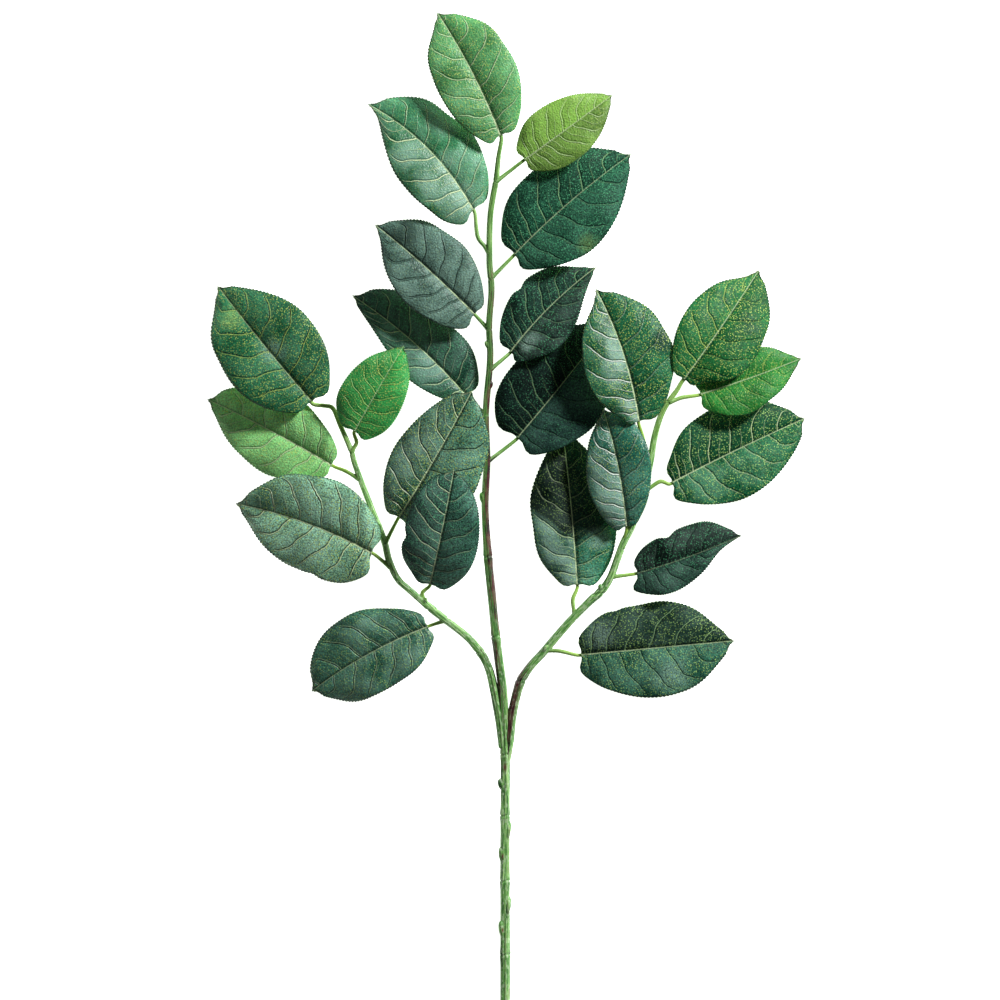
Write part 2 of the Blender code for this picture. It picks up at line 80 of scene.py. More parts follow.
def select(*pieces):
    """Selects the given pieces alone, with the first one active."""
    clear_selection()
    for piece in pieces:
        piece.select_set(True)
    bpy.context.view_layer.objects.active = pieces[0]


def apply_modifier(piece, kind, **settings):
    """Adds a modifier with its settings and applies it."""
    modifier = piece.modifiers.new(kind.lower(), kind)
    for name, value in settings.items():
        setattr(modifier, name, value)
    bpy.context.view_layer.objects.active = piece
    bpy.ops.object.modifier_apply(modifier=modifier.name)


def read(items, what, width=3):
    """Numbers of a mesh's points or of an attribute, as an array with one row for each."""
    values = np.empty(len(items) * width)
    items.foreach_get(what, values)
    return values.reshape(-1, width)


def mark(mesh, name, values):
    """Gives each point of a mesh a number, or three, that its material can follow."""
    kind, what = ("FLOAT_VECTOR", "vector") if values.ndim == 2 else ("FLOAT", "value")
    mesh.attributes.new(name, kind, "POINT").data.foreach_set(what, values.ravel())


def keep_inside(piece):
    """Moves the points that stand out of the solids' box onto it, so that no dressed piece is larger."""
    places = np.clip(read(piece.data.vertices, "co"), np.array(solid_low), np.array(solid_high))
    piece.data.vertices.foreach_set("co", places.ravel())
    piece.data.update()


def count_triangles(piece):
    """How many triangles a piece has."""
    piece.data.calc_loop_triangles()
    return len(piece.data.loop_triangles)


# %% [markdown]
# A material is a tree of nodes. One small function adds a node: its settings are the node's own properties, and
# its inputs are values or the outputs of other nodes. Another one turns a colour as painters and screens write
# it, in sRGB, to the linear numbers that Blender calculates with.

# %% Helpers for materials
def fill(made, inputs):
    """Gives the inputs of a node, in their order or by name or number, their values or links."""
    for name, value in inputs.items() if isinstance(inputs, dict) else enumerate(inputs):
        if isinstance(value, bpy.types.NodeSocket):
            made.id_data.links.new(value, made.inputs[name])
        else:
            made.inputs[name].default_value = value


def node(tree, kind, inputs=(), out=0, **settings):
    """Adds one node, sets its properties, fills its inputs and gives back one of its outputs."""
    made = tree.nodes.new("ShaderNode" + kind)
    for name, value in settings.items():
        setattr(made, name, value)
    fill(made, inputs)
    return made.outputs[out] if len(made.outputs) else None


def linear(colour):
    """The linear red, green, blue and alpha of an sRGB colour such as #5fa35a."""
    parts = [int(colour[i:i + 2], 16) / 255 for i in (1, 3, 5)]
    return (*[p / 12.92 if p <= 0.04045 else ((p + 0.055) / 1.055) ** 2.4 for p in parts], 1.0)


def new_material(name):
    """An empty material with a Principled shader linked to its output."""
    finish = bpy.data.materials.new(name)
    finish.use_nodes = True
    tree = finish.node_tree
    tree.nodes.clear()
    surface = node(tree, "BsdfPrincipled")
    node(tree, "OutputMaterial", {"Surface": surface})
    return finish, tree, surface.node


print("leaf green in linear numbers:", [round(c, 3) for c in linear("#5fa35a")])

# %% [markdown]
# ## Camera, floor and light
# The branch is pictured from straight above, so the camera hangs over it and looks down. A very long lens keeps
# the leaves that lie higher from looking larger. One pixel of a picture 1000 pixels wide is 0.7 mm at the
# height of the leaves.

# %% Camera
PIXEL = 0.7
PICTURE = 1000
STEM_PIXEL = (506, 508)
LEAF_HEIGHT = 28
LENS = 300
SENSOR = 36

camera_data = bpy.data.cameras.new("camera")
camera_data.lens = LENS
camera_data.sensor_width = SENSOR
camera = bpy.data.objects.new("camera", camera_data)
bpy.context.scene.collection.objects.link(camera)
camera_height = PIXEL * PICTURE * LENS / SENSOR + LEAF_HEIGHT
camera.location = (
    (PICTURE / 2 - STEM_PIXEL[0]) * PIXEL * MM,
    (STEM_PIXEL[1] - PICTURE / 2) * PIXEL * MM,
    camera_height * MM,
)
camera_data.clip_end = 3 * camera_height * MM
bpy.context.scene.camera = camera
print("camera height in m:", round(camera.location.z, 3))

# %% [markdown]
# The floor is a plain white table that also glows a little, as a lit table in a studio does, so that the shadows
# on it stay faint. The main light is a softbox at the upper right. It is small enough that one leaf still throws
# a clear shadow on the next, and a large weak one from the left fills the dark sides.

# %% Floor and lights
FLOOR_SIZE = 12.0
FLOOR_GLOW = 1.0
KEY_DIRECTION, KEY_SIZE, KEY_POWER = (0.9, 0.85, 0.7), 0.7, 235.0
FILL_DIRECTION, FILL_SIZE, FILL_POWER = (-0.9, 0.35, 1.0), 3.2, 7.5
LIGHT_DISTANCE = 4.0
SKY = 0.065

clear_selection()
bpy.ops.mesh.primitive_plane_add(size=FLOOR_SIZE, location=(0, 0, 0))
floor = bpy.context.object
floor.name = "floor"
floor_white, _, shader = new_material("white table")
fill(shader, {"Base Color": linear("#f4f4f2"), "Roughness": 0.8, "Specular IOR Level": 0.0,
              "Emission Color": linear("#ffffff"), "Emission Strength": FLOOR_GLOW})
floor.data.materials.append(floor_white)


def softbox(name, direction, size, power):
    """A square light that faces the branch from the given direction."""
    data = bpy.data.lights.new(name, "AREA")
    data.size = size
    data.energy = power
    light = bpy.data.objects.new(name, data)
    bpy.context.scene.collection.objects.link(light)
    light.location = Vector(direction).normalized() * LIGHT_DISTANCE
    light.rotation_euler = Vector(direction).to_track_quat("Z", "Y").to_euler()


softbox("key softbox", KEY_DIRECTION, KEY_SIZE, KEY_POWER)
softbox("fill softbox", FILL_DIRECTION, FILL_SIZE, FILL_POWER)
world = bpy.data.worlds.new("studio")
world.use_nodes = True
fill(world.node_tree.nodes["Background"], {"Color": linear("#ffffff"), "Strength": SKY})
bpy.context.scene.world = world
bpy.context.scene.view_settings.view_transform = "Standard"

# %% [markdown]
# ## The leaves
# A lemon leaf is a stiff oval blade with a short point. Its midrib and side veins are sunk into the upper face,
# the panels between them puff up, and the edge has fine teeth. Each leaf of the branch is described by a few
# measures: where its base and tip are, how its midrib bends and arches, how it rolls and ripples, and its
# half-width at six stations on each side. They are the measures that the solids were made from, apart from one
# base lobe, so the finer blades lie where the solids are.

# %% Measures of each leaf
STATIONS = (0.05, 0.18, 0.38, 0.58, 0.78, 0.92)
Leaf = namedtuple("Leaf", "name colour base tip left right bow arch wave lobes roll notches")


def leaf(name, colour, base, tip, left, right, bow, arch, wave, lobes, roll=0.0, notches=()):
    """One blade, in mm: places of its base and tip, half-widths at STATIONS on its left and right, how far its
    midrib bends to the left and arches up, height and phase of the ripple of its edge, length of its base lobes,
    the roll about its midrib, and notches: side, place, depth and reach of each."""
    return Leaf(name, colour, Vector(base), Vector(tip), left, right, bow, arch, wave, lobes, roll, notches)


# Left and right are as seen from above, looking from the base of the leaf to its tip. The right lobe of
# leaf_right_1 is 1.5 mm shorter than its solid's, so that it clears the stem.
LEAVES = [
    leaf("leaf_centre_1", "light", (-4.2, 260.4, 43), (-48.3, 346.5, 35), bow=-2.5, arch=6, wave=(1.0, 0.3),
         left=(14, 22.5, 27, 26.5, 19.5, 6.5), right=(16, 24.5, 30, 29, 24, 11), lobes=(2.5, 1.5)),
    leaf("leaf_centre_2", "mid", (-23.1, 208.6, 38.5), (-96.6, 282.8, 27), bow=-7.5, arch=5, roll=0.13,
         wave=(1.4, 1.7), left=(19, 26.5, 30.5, 27, 14, 3), right=(18, 26, 30.5, 27, 24, 12), lobes=(3, 1.5)),
    leaf("leaf_centre_3", "young", (13.3, 243.6, 41), (74.2, 288.4, 45), bow=-0.4, arch=4, wave=(0.7, 2.0),
         left=(13, 20.5, 22.5, 20, 13.5, 5.5), right=(12.5, 19, 21.5, 20, 13.5, 5.5), lobes=(1.5, 1.5)),
    leaf("leaf_centre_4", "deep", (6.3, 177.8, 36), (87.5, 247.8, 25), bow=2.4, arch=5, roll=-0.1, wave=(1.2, 0.8),
         left=(19, 30, 33.5, 32, 25, 10.5), right=(18, 28.5, 35.5, 32.5, 21.5, 9), lobes=(1.5, 3)),
    leaf("leaf_centre_5", "dark", (-22.4, 135.8, 37), (-91.7, 198.1, 31), bow=-1.5, arch=6, roll=0.05,
         wave=(1.0, 2.6), left=(17, 24, 28, 25.5, 15.5, 4), right=(14, 23, 29, 27.5, 22, 9.5), lobes=(3, 1)),
    leaf("leaf_centre_6", "dark", (-28.0, 78.4, 30), (-107.8, 149.1, 14), bow=-3.8, arch=4, roll=0.1,
         wave=(1.2, 1.0), left=(10, 17.5, 21.5, 17, 10, 4.5), right=(17, 25.5, 26.5, 25.5, 22, 12), lobes=(1, 1.5)),
    leaf("leaf_centre_7", "deep", (3.5, 109.9, 33), (63.0, 168.7, 24), bow=2.9, arch=4, roll=-0.1, wave=(1.5, 0.0),
         left=(14, 21.5, 25.5, 24.5, 17, 5.5), right=(13, 21, 24.5, 20, 10, 3.5), lobes=(1.5, 3),
         notches=(("left", 0.42, 2.0, 0.05),)),
    leaf("leaf_centre_8", "deep", (8.4, 49.7, 30), (72.8, 130.2, 14), bow=-0.9, arch=4, roll=-0.05, wave=(1.0, 1.9),
         left=(23.5, 33, 35, 32.5, 23, 10), right=(21.5, 30.5, 36, 32.5, 22.5, 10), lobes=(3, 4.5)),
    leaf("leaf_left_1", "dark", (-136.5, 74.9, 31), (-203.0, 156.1, 0.8), bow=0.8, arch=10, wave=(1.0, 0.5),
         left=(18, 29, 34.5, 32, 23.5, 8), right=(20, 31, 36, 34, 22.5, 9.5), lobes=(1, 3)),
    leaf("leaf_left_2", "mid", (-122.5, 30.1, 28), (-210.0, 76.3, 5), bow=-1.4, arch=3, roll=-0.09, wave=(1.2, 2.2),
         left=(13.5, 22, 28.5, 25.5, 17, 6), right=(14, 22, 29, 28, 21, 11), lobes=(0.5, 0.5)),
    leaf("leaf_left_3", "young", (-105.7, 53.9, 36), (-71.4, 113.4, 40), bow=0.3, arch=4, wave=(0.7, 1.2),
         left=(14.5, 22, 23.5, 21, 14, 5), right=(13.5, 19.5, 21, 19, 13.5, 5.5), lobes=(1.5, 2.5)),
    leaf("leaf_left_4", "grey", (-94.5, -31.5, 33), (-189.7, 2.8, 14), bow=-4.3, arch=7, roll=-0.12,
         wave=(1.8, 0.9), left=(22, 31, 32.5, 30.5, 20, 7), right=(21, 31, 35.5, 32.5, 25.5, 11.5), lobes=(3, 3),
         notches=(("left", 0.33, 1.2, 0.04),)),
    leaf("leaf_left_5", "grey", (-74.9, -6.3, 35), (-23.8, 81.9, 45), bow=-1.2, arch=3, roll=-0.05, wave=(1.1, 2.9),
         left=(14.5, 23.5, 28.5, 26, 19, 10), right=(17.5, 29.5, 36, 33, 26, 11.5), lobes=(1, 2)),
    leaf("leaf_left_6", "deep", (-53.2, -53.2, 31), (-36.4, 26.6, 50), bow=-0.6, arch=7, wave=(1.2, 0.6),
         left=(12.5, 23, 26, 25, 20, 11.5), right=(16.5, 24.5, 27, 25, 19, 10), lobes=(0.5, 2),
         notches=(("left", 0.36, 2.0, 0.05),)),
    leaf("leaf_left_7", "deep", (-55.3, -83.3, 24.5), (-136.5, -128.8, 5), bow=-3.4, arch=5, wave=(1.3, 2.4),
         left=(13.5, 23, 27.5, 27.5, 22, 9.5), right=(14.5, 22.5, 30, 30.5, 25.5, 14), lobes=(1, 1)),
    leaf("leaf_right_1", "mottled", (92.8, 60.9, 38), (62.6, 153.3, 34), bow=-4.2, arch=5, roll=0.17,
         wave=(1.2, 1.4), left=(11, 23, 30, 27.5, 17.5, 4.5), right=(18, 27, 35, 32.5, 26, 12), lobes=(0.5, 1.5)),
    leaf("leaf_right_2", "light", (124.6, 90.3, 37), (178.1, 167.6, 0.8), bow=-0.7, arch=12, roll=0.06,
         wave=(1.0, 0.2), left=(13, 21.5, 26.5, 25, 16, 3.5), right=(12, 26, 32, 29.5, 22.5, 10), lobes=(0.5, 0.5)),
    leaf("leaf_right_3", "young", (136.5, 79.8, 32), (207.2, 105.0, 20), bow=-0.9, arch=3, roll=-0.15,
         wave=(0.9, 1.1), left=(13, 19, 21, 19.5, 14, 4.5), right=(14, 20.5, 23.5, 19.5, 13, 4.5), lobes=(1.5, 2)),
    leaf("leaf_right_4", "dark", (116.9, 18.2, 31), (210.0, 63.0, 8), bow=0.9, arch=3, roll=-0.08, wave=(1.3, 2.0),
         left=(15, 27.5, 33, 33, 24.5, 10.5), right=(17.5, 27, 33, 31, 22, 11), lobes=(0.5, 4)),
    leaf("leaf_right_5", "dark", (84.0, -12.6, 35), (67.9, 69.3, 31), bow=-2.3, arch=4, roll=-0.1, wave=(1.1, 1.6),
         left=(12, 19, 23, 21, 14.5, 5.5), right=(10, 17, 22, 23.5, 20, 13), lobes=(2, 0.5)),
    leaf("leaf_right_6", "deep", (49.7, -53.2, 24), (39.2, 58.1, 14), bow=-1.1, arch=2.5, wave=(1.0, 0.9),
         left=(14.5, 25, 28, 27.5, 17, 6.5), right=(18, 27, 31, 30, 20, 7), lobes=(0.5, 2)),
    leaf("leaf_right_7", "deep", (92.4, -45.5, 28), (165.2, -19.2, 16), bow=-1.4, arch=5, wave=(1.6, 0.4),
         left=(12, 18, 20.5, 21, 17, 7), right=(15.5, 20, 18.5, 12.5, 3.6, 0.8), lobes=(0.5, 7),
         notches=(("left", 0.36, 2.6, 0.06),)),
    leaf("leaf_right_8", "dark", (53.2, -102.9, 22), (160.6, -93.4, 4), bow=0.2, arch=6, wave=(1.3, 1.2),
         left=(18, 28, 31, 32, 23, 8.5), right=(18, 27.5, 34, 33.5, 25, 10.5), lobes=(1.5, 2),
         notches=(("left", 0.24, 1.2, 0.04),)),
]
LEAF = {entry.name: entry for entry in LEAVES}
lengths = [(entry.tip - entry.base).length for entry in LEAVES]
print("leaves:", len(LEAVES), "from", round(min(lengths)), "to", round(max(lengths)), "mm long")

# %% [markdown]
# The outline comes from one formula. A plain leaf rises quickly at its round base and runs out to a point, and
# the half-widths only say how much fuller or slimmer each leaf is than that. Just before its end the blade draws
# in quickly to a fine short point, as a lemon leaf does. The side veins leave the midrib at a wide angle and bend
# forward along the edge, and the rows of the mesh follow them, so that every vein lies on a row of points.

# %% The form of a blade
BASE_ROUNDNESS, TIP_TAPER = 0.45, 0.85
LOBE_PLACE = 0.018  # the base lobes are a little rounder than the solids'
PINCH_START, PINCH_END, PINCH = 0.93, 0.975, 0.62
FOLD, CURL = 0.36, 0.32
RIPPLE_COUNT, RIPPLE_SHIFT, RIPPLE_FULL_WIDTH = 2.5, 0.35, 12.0
VEIN_SPREAD, VEIN_ARCH, VEIN_CURVE, VEIN_SWAY = 1.5, 0.5, 2.5, 0.012


def envelope(e):
    """Half-width of a plain leaf with a round base and a pointed tip."""
    return np.clip(e, 0, 1) ** BASE_ROUNDNESS * np.clip(1 - e, 0, 1) ** TIP_TAPER


def smooth_values(places, values, x):
    """A smooth curve through the values at the places, level beyond its ends."""
    places, values = np.array(places), np.array(values)
    x = np.clip(x, places[0], places[-1])
    last = len(places) - 1
    k = np.clip(np.searchsorted(places, x, side="right") - 1, 0, last - 1)
    low, high = np.maximum(np.arange(last + 1) - 1, 0), np.minimum(np.arange(last + 1) + 1, last)
    slopes = (values[high] - values[low]) / (places[high] - places[low])
    span = places[k + 1] - places[k]
    t = (x - places[k]) / span
    return (values[k] * (1 + 2 * t) * (1 - t) ** 2 + span * slopes[k] * t * (1 - t) ** 2
            + values[k + 1] * t * t * (3 - 2 * t) - span * slopes[k + 1] * t * t * (1 - t))


def half_widths(entry, side, e):
    """Half-width on each point's side, at the part e of the way from base to tip."""
    width = np.zeros_like(e)
    for number, name, widths in ((1, "left", entry.left), (-1, "right", entry.right)):
        ratios = [w / envelope(s) for w, s in zip(widths, STATIONS)]
        one_side = envelope(e) * smooth_values(STATIONS, ratios, e)
        for where, place, depth, reach in entry.notches:
            if where == name:
                one_side = one_side - depth * np.exp(-((e - place) / reach) ** 2)
        width = np.where(side == number, one_side, width)
    pinched = np.clip((e - PINCH_START) / (PINCH_END - PINCH_START), 0, 1)
    return width * (1 - PINCH * pinched * pinched * (3 - 2 * pinched))


def leaf_axes(entry):
    """Length in plan, the directions along and to the left in plan, and the blade's mean normal."""
    chord = entry.tip - entry.base
    length = math.hypot(chord.x, chord.y)
    along = Vector((chord.x / length, chord.y / length, 0))
    left = Vector((-along.y, along.x, 0))
    rise = Vector((0, 0, 1))
    normal = (along * length + rise * chord.z).cross(left + rise * entry.roll).normalized()
    return length, along, left, normal


def blade_points(entry, e, v, side):
    """Points on the upper face: e along the leaf, v from 0 at the midrib to 1 at the edge."""
    length, along, left, _ = leaf_axes(entry)
    lobe = np.where(side > 0, entry.lobes[0], entry.lobes[1])
    near_base = np.maximum(e, 0) / LOBE_PLACE
    back = (lobe + LOBE_PLACE * length) * near_base * np.exp(1 - near_base) * v * v
    bulge = 4 * e * (1 - e)
    h = half_widths(entry, side, e)
    ahead = e * length - back
    aside = entry.bow * bulge + side * v * h
    size, turn = entry.wave
    phase = 2 * math.pi * (RIPPLE_COUNT * e + RIPPLE_SHIFT * side) + turn
    ripple = size * v * v * np.sin(phase) * np.minimum(1.0, h / RIPPLE_FULL_WIDTH)
    z = (entry.base.z + (entry.tip.z - entry.base.z) * e + entry.arch * bulge
         + h * (FOLD * v - CURL * v * v) + entry.roll * side * v * h + ripple)
    points = np.stack([entry.base.x + along.x * ahead + left.x * aside,
                       entry.base.y + along.y * ahead + left.y * aside, z], axis=-1)
    return points, h


def vein_place(s, v):
    """How far along the leaf a side vein has come: s numbers it, and v runs out to the edge."""
    root = s ** VEIN_SPREAD
    end = 1 - (1 - root) ** 2
    return root + (end - root) * ((1 - VEIN_ARCH) * v + VEIN_ARCH * v ** VEIN_CURVE)


def sway(entry, s, v, side):
    """Small bends that make the side veins of each leaf its own."""
    turn = 7 * entry.wave[1] + 1.3 * side
    return VEIN_SWAY * np.sin(2 * math.pi * (1.4 * v + 2.6 * s) + turn) * 4 * v * (1 - v) * 4 * s * (1 - s)


points, widths = blade_points(LEAVES[0], np.array([0.4]), np.array([1.0]), np.array([1.0]))
print("half-width of the end leaf at its widest in mm:", round(float(widths[0]), 1))

# %% [markdown]
# A blade is modelled from a flat grid. Its long direction becomes the rows along the veins, and its short one
# runs from edge to edge, with the columns closer together at the midrib, where the groove is narrow. The points
# are then moved to the leaf's form, as in sculpting: no single tool bends a sheet in five ways at once. The
# grid's end rows shrink to the base and the tip, where their points are merged. A Solidify modifier then gives
# the blade its thickness, and the underside gets the round ridge of the midrib.

# %% Model one blade
VEINS = 7
ROWS_A_VEIN = 16
COLUMNS = 24
COLUMN_SPREAD = 1.4
RIGHT_VEIN_SHIFT = 6 / ROWS_A_VEIN
THICKNESS = 0.7
GROOVE_DEPTH, GROOVE_REACH = 0.25, 1.2
CORD_HEIGHT, CORD_REACH = 0.36, 0.4
VEIN_DEPTH, VEIN_REACH, VEIN_END = 0.28, 1.0, 3.0
PANEL_PUFF, PANEL_FROM_RIB, PANEL_FROM_EDGE = 0.5, 6.0, 5.0
GENTLE = {"young": 0.5, "light": 0.75, "mid": 0.85}  # softer leaves have a lower relief
RIDGE_DEPTH, RIDGE_REACH, VEIN_RIDGE_DEPTH = 0.8, 1.3, 0.25
TOOTH_PEAK, TOOTH_DIP, TOOTH_LEAN = 0.22, -0.28, 0.45
ROWS_BEFORE_TEETH, ROWS_AFTER_TEETH = 3, 9


def row_points(entry, s, v, side):
    """Points on the upper face by vein number and share of the half-width."""
    s, v = np.clip(s, 0, 1), np.clip(v, 0, 1)
    return blade_points(entry, vein_place(s, v) + sway(entry, s, v, side), v, side)


def vein_distances(entry, s, v, side):
    """Distance from the nearest side vein, and the space between two of them, in mm."""
    step = 0.25 / (VEINS * ROWS_A_VEIN)
    before, _ = row_points(entry, s - step, v, side)
    after, _ = row_points(entry, s + step, v, side)
    inner, _ = row_points(entry, s, v - 0.01, side)
    outer, _ = row_points(entry, s, v + 0.01, side)
    run = outer - inner
    length = np.linalg.norm(run, axis=-1) + 1e-6
    space = np.linalg.norm(np.cross(after - before, run), axis=-1) / length / (2 * step * VEINS)
    number = s * VEINS + np.where(side < 0, RIGHT_VEIN_SHIFT, 0.0)
    return np.abs(number - np.round(number)) * space, space, number


def model_blade(entry):
    """One blade with its relief, teeth and thickness, and the distances that its material follows."""
    clear_selection()
    rows = VEINS * ROWS_A_VEIN
    bpy.ops.mesh.primitive_grid_add(x_subdivisions=2 * COLUMNS, y_subdivisions=rows, size=1, calc_uvs=True)
    blade = bpy.context.object
    blade.name = entry.name + "_blade"
    mesh = blade.data
    flat = read(mesh.vertices, "co")
    s = np.clip(flat[:, 1] + 0.5, 0, 1)
    side = np.where(flat[:, 0] > 1e-6, -1.0, 1.0)
    v = np.clip(np.abs(2 * flat[:, 0]), 0, 1) ** COLUMN_SPREAD
    e = vein_place(s, v) + sway(entry, s, v, side)
    points, h = row_points(entry, s, v, side)
    length, along, left, normal = leaf_axes(entry)

    # Relief of the upper face, and teeth on the edge
    vein, space, number = vein_distances(entry, s, v, side)
    middle = v * h
    inside = np.clip(middle / PANEL_FROM_RIB, 0, 1) * np.clip((h - middle) / PANEL_FROM_EDGE, 0, 1)
    relief = -GROOVE_DEPTH * np.exp(-(middle / GROOVE_REACH) ** 2) * (1 - 0.5 * e)
    relief += CORD_HEIGHT * np.exp(-(middle / CORD_REACH) ** 2) * (1 - 0.6 * e)
    fading = (1 - 0.6 * v) * np.clip((h - middle) / VEIN_END, 0, 1)
    relief -= VEIN_DEPTH * np.exp(-(vein / VEIN_REACH) ** 2) * fading
    relief += PANEL_PUFF * np.clip(2 * vein / np.maximum(space, 1e-3), 0, 1) ** 0.8 * inside
    points = points + np.array(normal) * (relief * GENTLE.get(entry.colour, 1.0))[:, None]
    row = np.rint(s * rows).astype(int)
    toothed = (v > 0.999) & (row > ROWS_BEFORE_TEETH) & (row < rows - ROWS_AFTER_TEETH)
    out = np.where(row % 2 == 0, TOOTH_PEAK, TOOTH_DIP) * toothed
    lean = np.where(row % 2 == 0, TOOTH_LEAN, 0.0) * toothed
    points += np.array(left) * (side * out)[:, None] + np.array(along) * lean[:, None]
    mesh.vertices.foreach_set("co", (points * MM).ravel())

    # What the leaf's material follows: distance from the midrib, space between veins, distance from the edge
    mark(mesh, "vein_mm", np.stack([middle * side, space, h - middle], axis=-1))
    mark(mesh, "vein_number", number)
    bpy.ops.object.mode_set(mode="EDIT")
    bpy.ops.mesh.select_all(action="SELECT")
    bpy.ops.mesh.remove_doubles(threshold=1e-6)
    bpy.ops.object.mode_set(mode="OBJECT")
    upper = len(mesh.vertices)
    mesh.materials.append(None)
    mesh.materials.append(None)
    apply_modifier(blade, "SOLIDIFY", thickness=THICKNESS * MM, offset=-1, material_offset=1,
                   material_offset_rim=0)

    # The midrib stands out below as a round ridge
    under = read(mesh.vertices, "co")
    marks = read(mesh.attributes["vein_mm"].data, "vector")
    count = read(mesh.attributes["vein_number"].data, "value", 1)[:, 0]
    from_vein = np.abs(count - np.round(count)) * marks[:, 1]
    ahead = np.clip(((under - np.array(entry.base) * MM) @ np.array(along)) / (length * MM), 0, 1)
    ridge = RIDGE_DEPTH * np.exp(-(marks[:, 0] / RIDGE_REACH) ** 2) * (1 - ahead) ** 0.7
    ridge += VEIN_RIDGE_DEPTH * np.exp(-(from_vein / VEIN_REACH) ** 2)
    ridge[:upper] = 0
    under -= np.array(normal) * ridge[:, None] * MM
    mesh.vertices.foreach_set("co", under.ravel())
    keep_inside(blade)
    bpy.ops.object.shade_smooth()
    return blade


blades = {entry.name: model_blade(entry) for entry in LEAVES}
print("triangles in one blade:", count_triangles(blades["leaf_centre_1"]))

# %% [markdown]
# ## The finish of the leaves
# A fresh lemon leaf is leathery, with a thin wax on it: it shines softly, not like a mirror. Its midrib and veins
# are paler than the blade, a fine net of the smallest veins runs between them, and tiny yellow-green points
# cover it. Young leaves are yellow-green, and old ones are dark blue-green. The veins are drawn by the distances
# that each blade carries, so they follow its shape, and the net and the points come from cell and noise patterns
# whose scale is set in millimetres.

# %% Greens
# The bloom tint is a wax bloom together with painted sheen and glints, and ink is also the tint of painted shade
# and of painted shadow spots.
GREENS = {
    "fresh": "#4b9a55", "spring": "#78a844", "pine": "#235640", "slate": "#4c6c60", "bottle": "#265a46",
    "night": "#1e3a30", "ink": "#192f29", "clover": "#1a6c42", "meadow": "#6aa660", "jade": "#3f8f60",
    "apple": "#2f8a40", "grass": "#2b8a36", "dusty": "#4a8468", "ash": "#5c856c", "moss": "#187c3a",
    "teal": "#1c624e", "pale vein": "#d3e8b4", "green vein": "#9cc48a", "white vein": "#e3ece0",
    "grey vein": "#86a78c", "dark vein": "#1c322a", "yellow point": "#b9d268", "green point": "#57a979",
    "leaf point": "#a2c870", "bloom": "#9fc0b2", "underside": "#8fae7c",
}
print("greens:", len(GREENS))
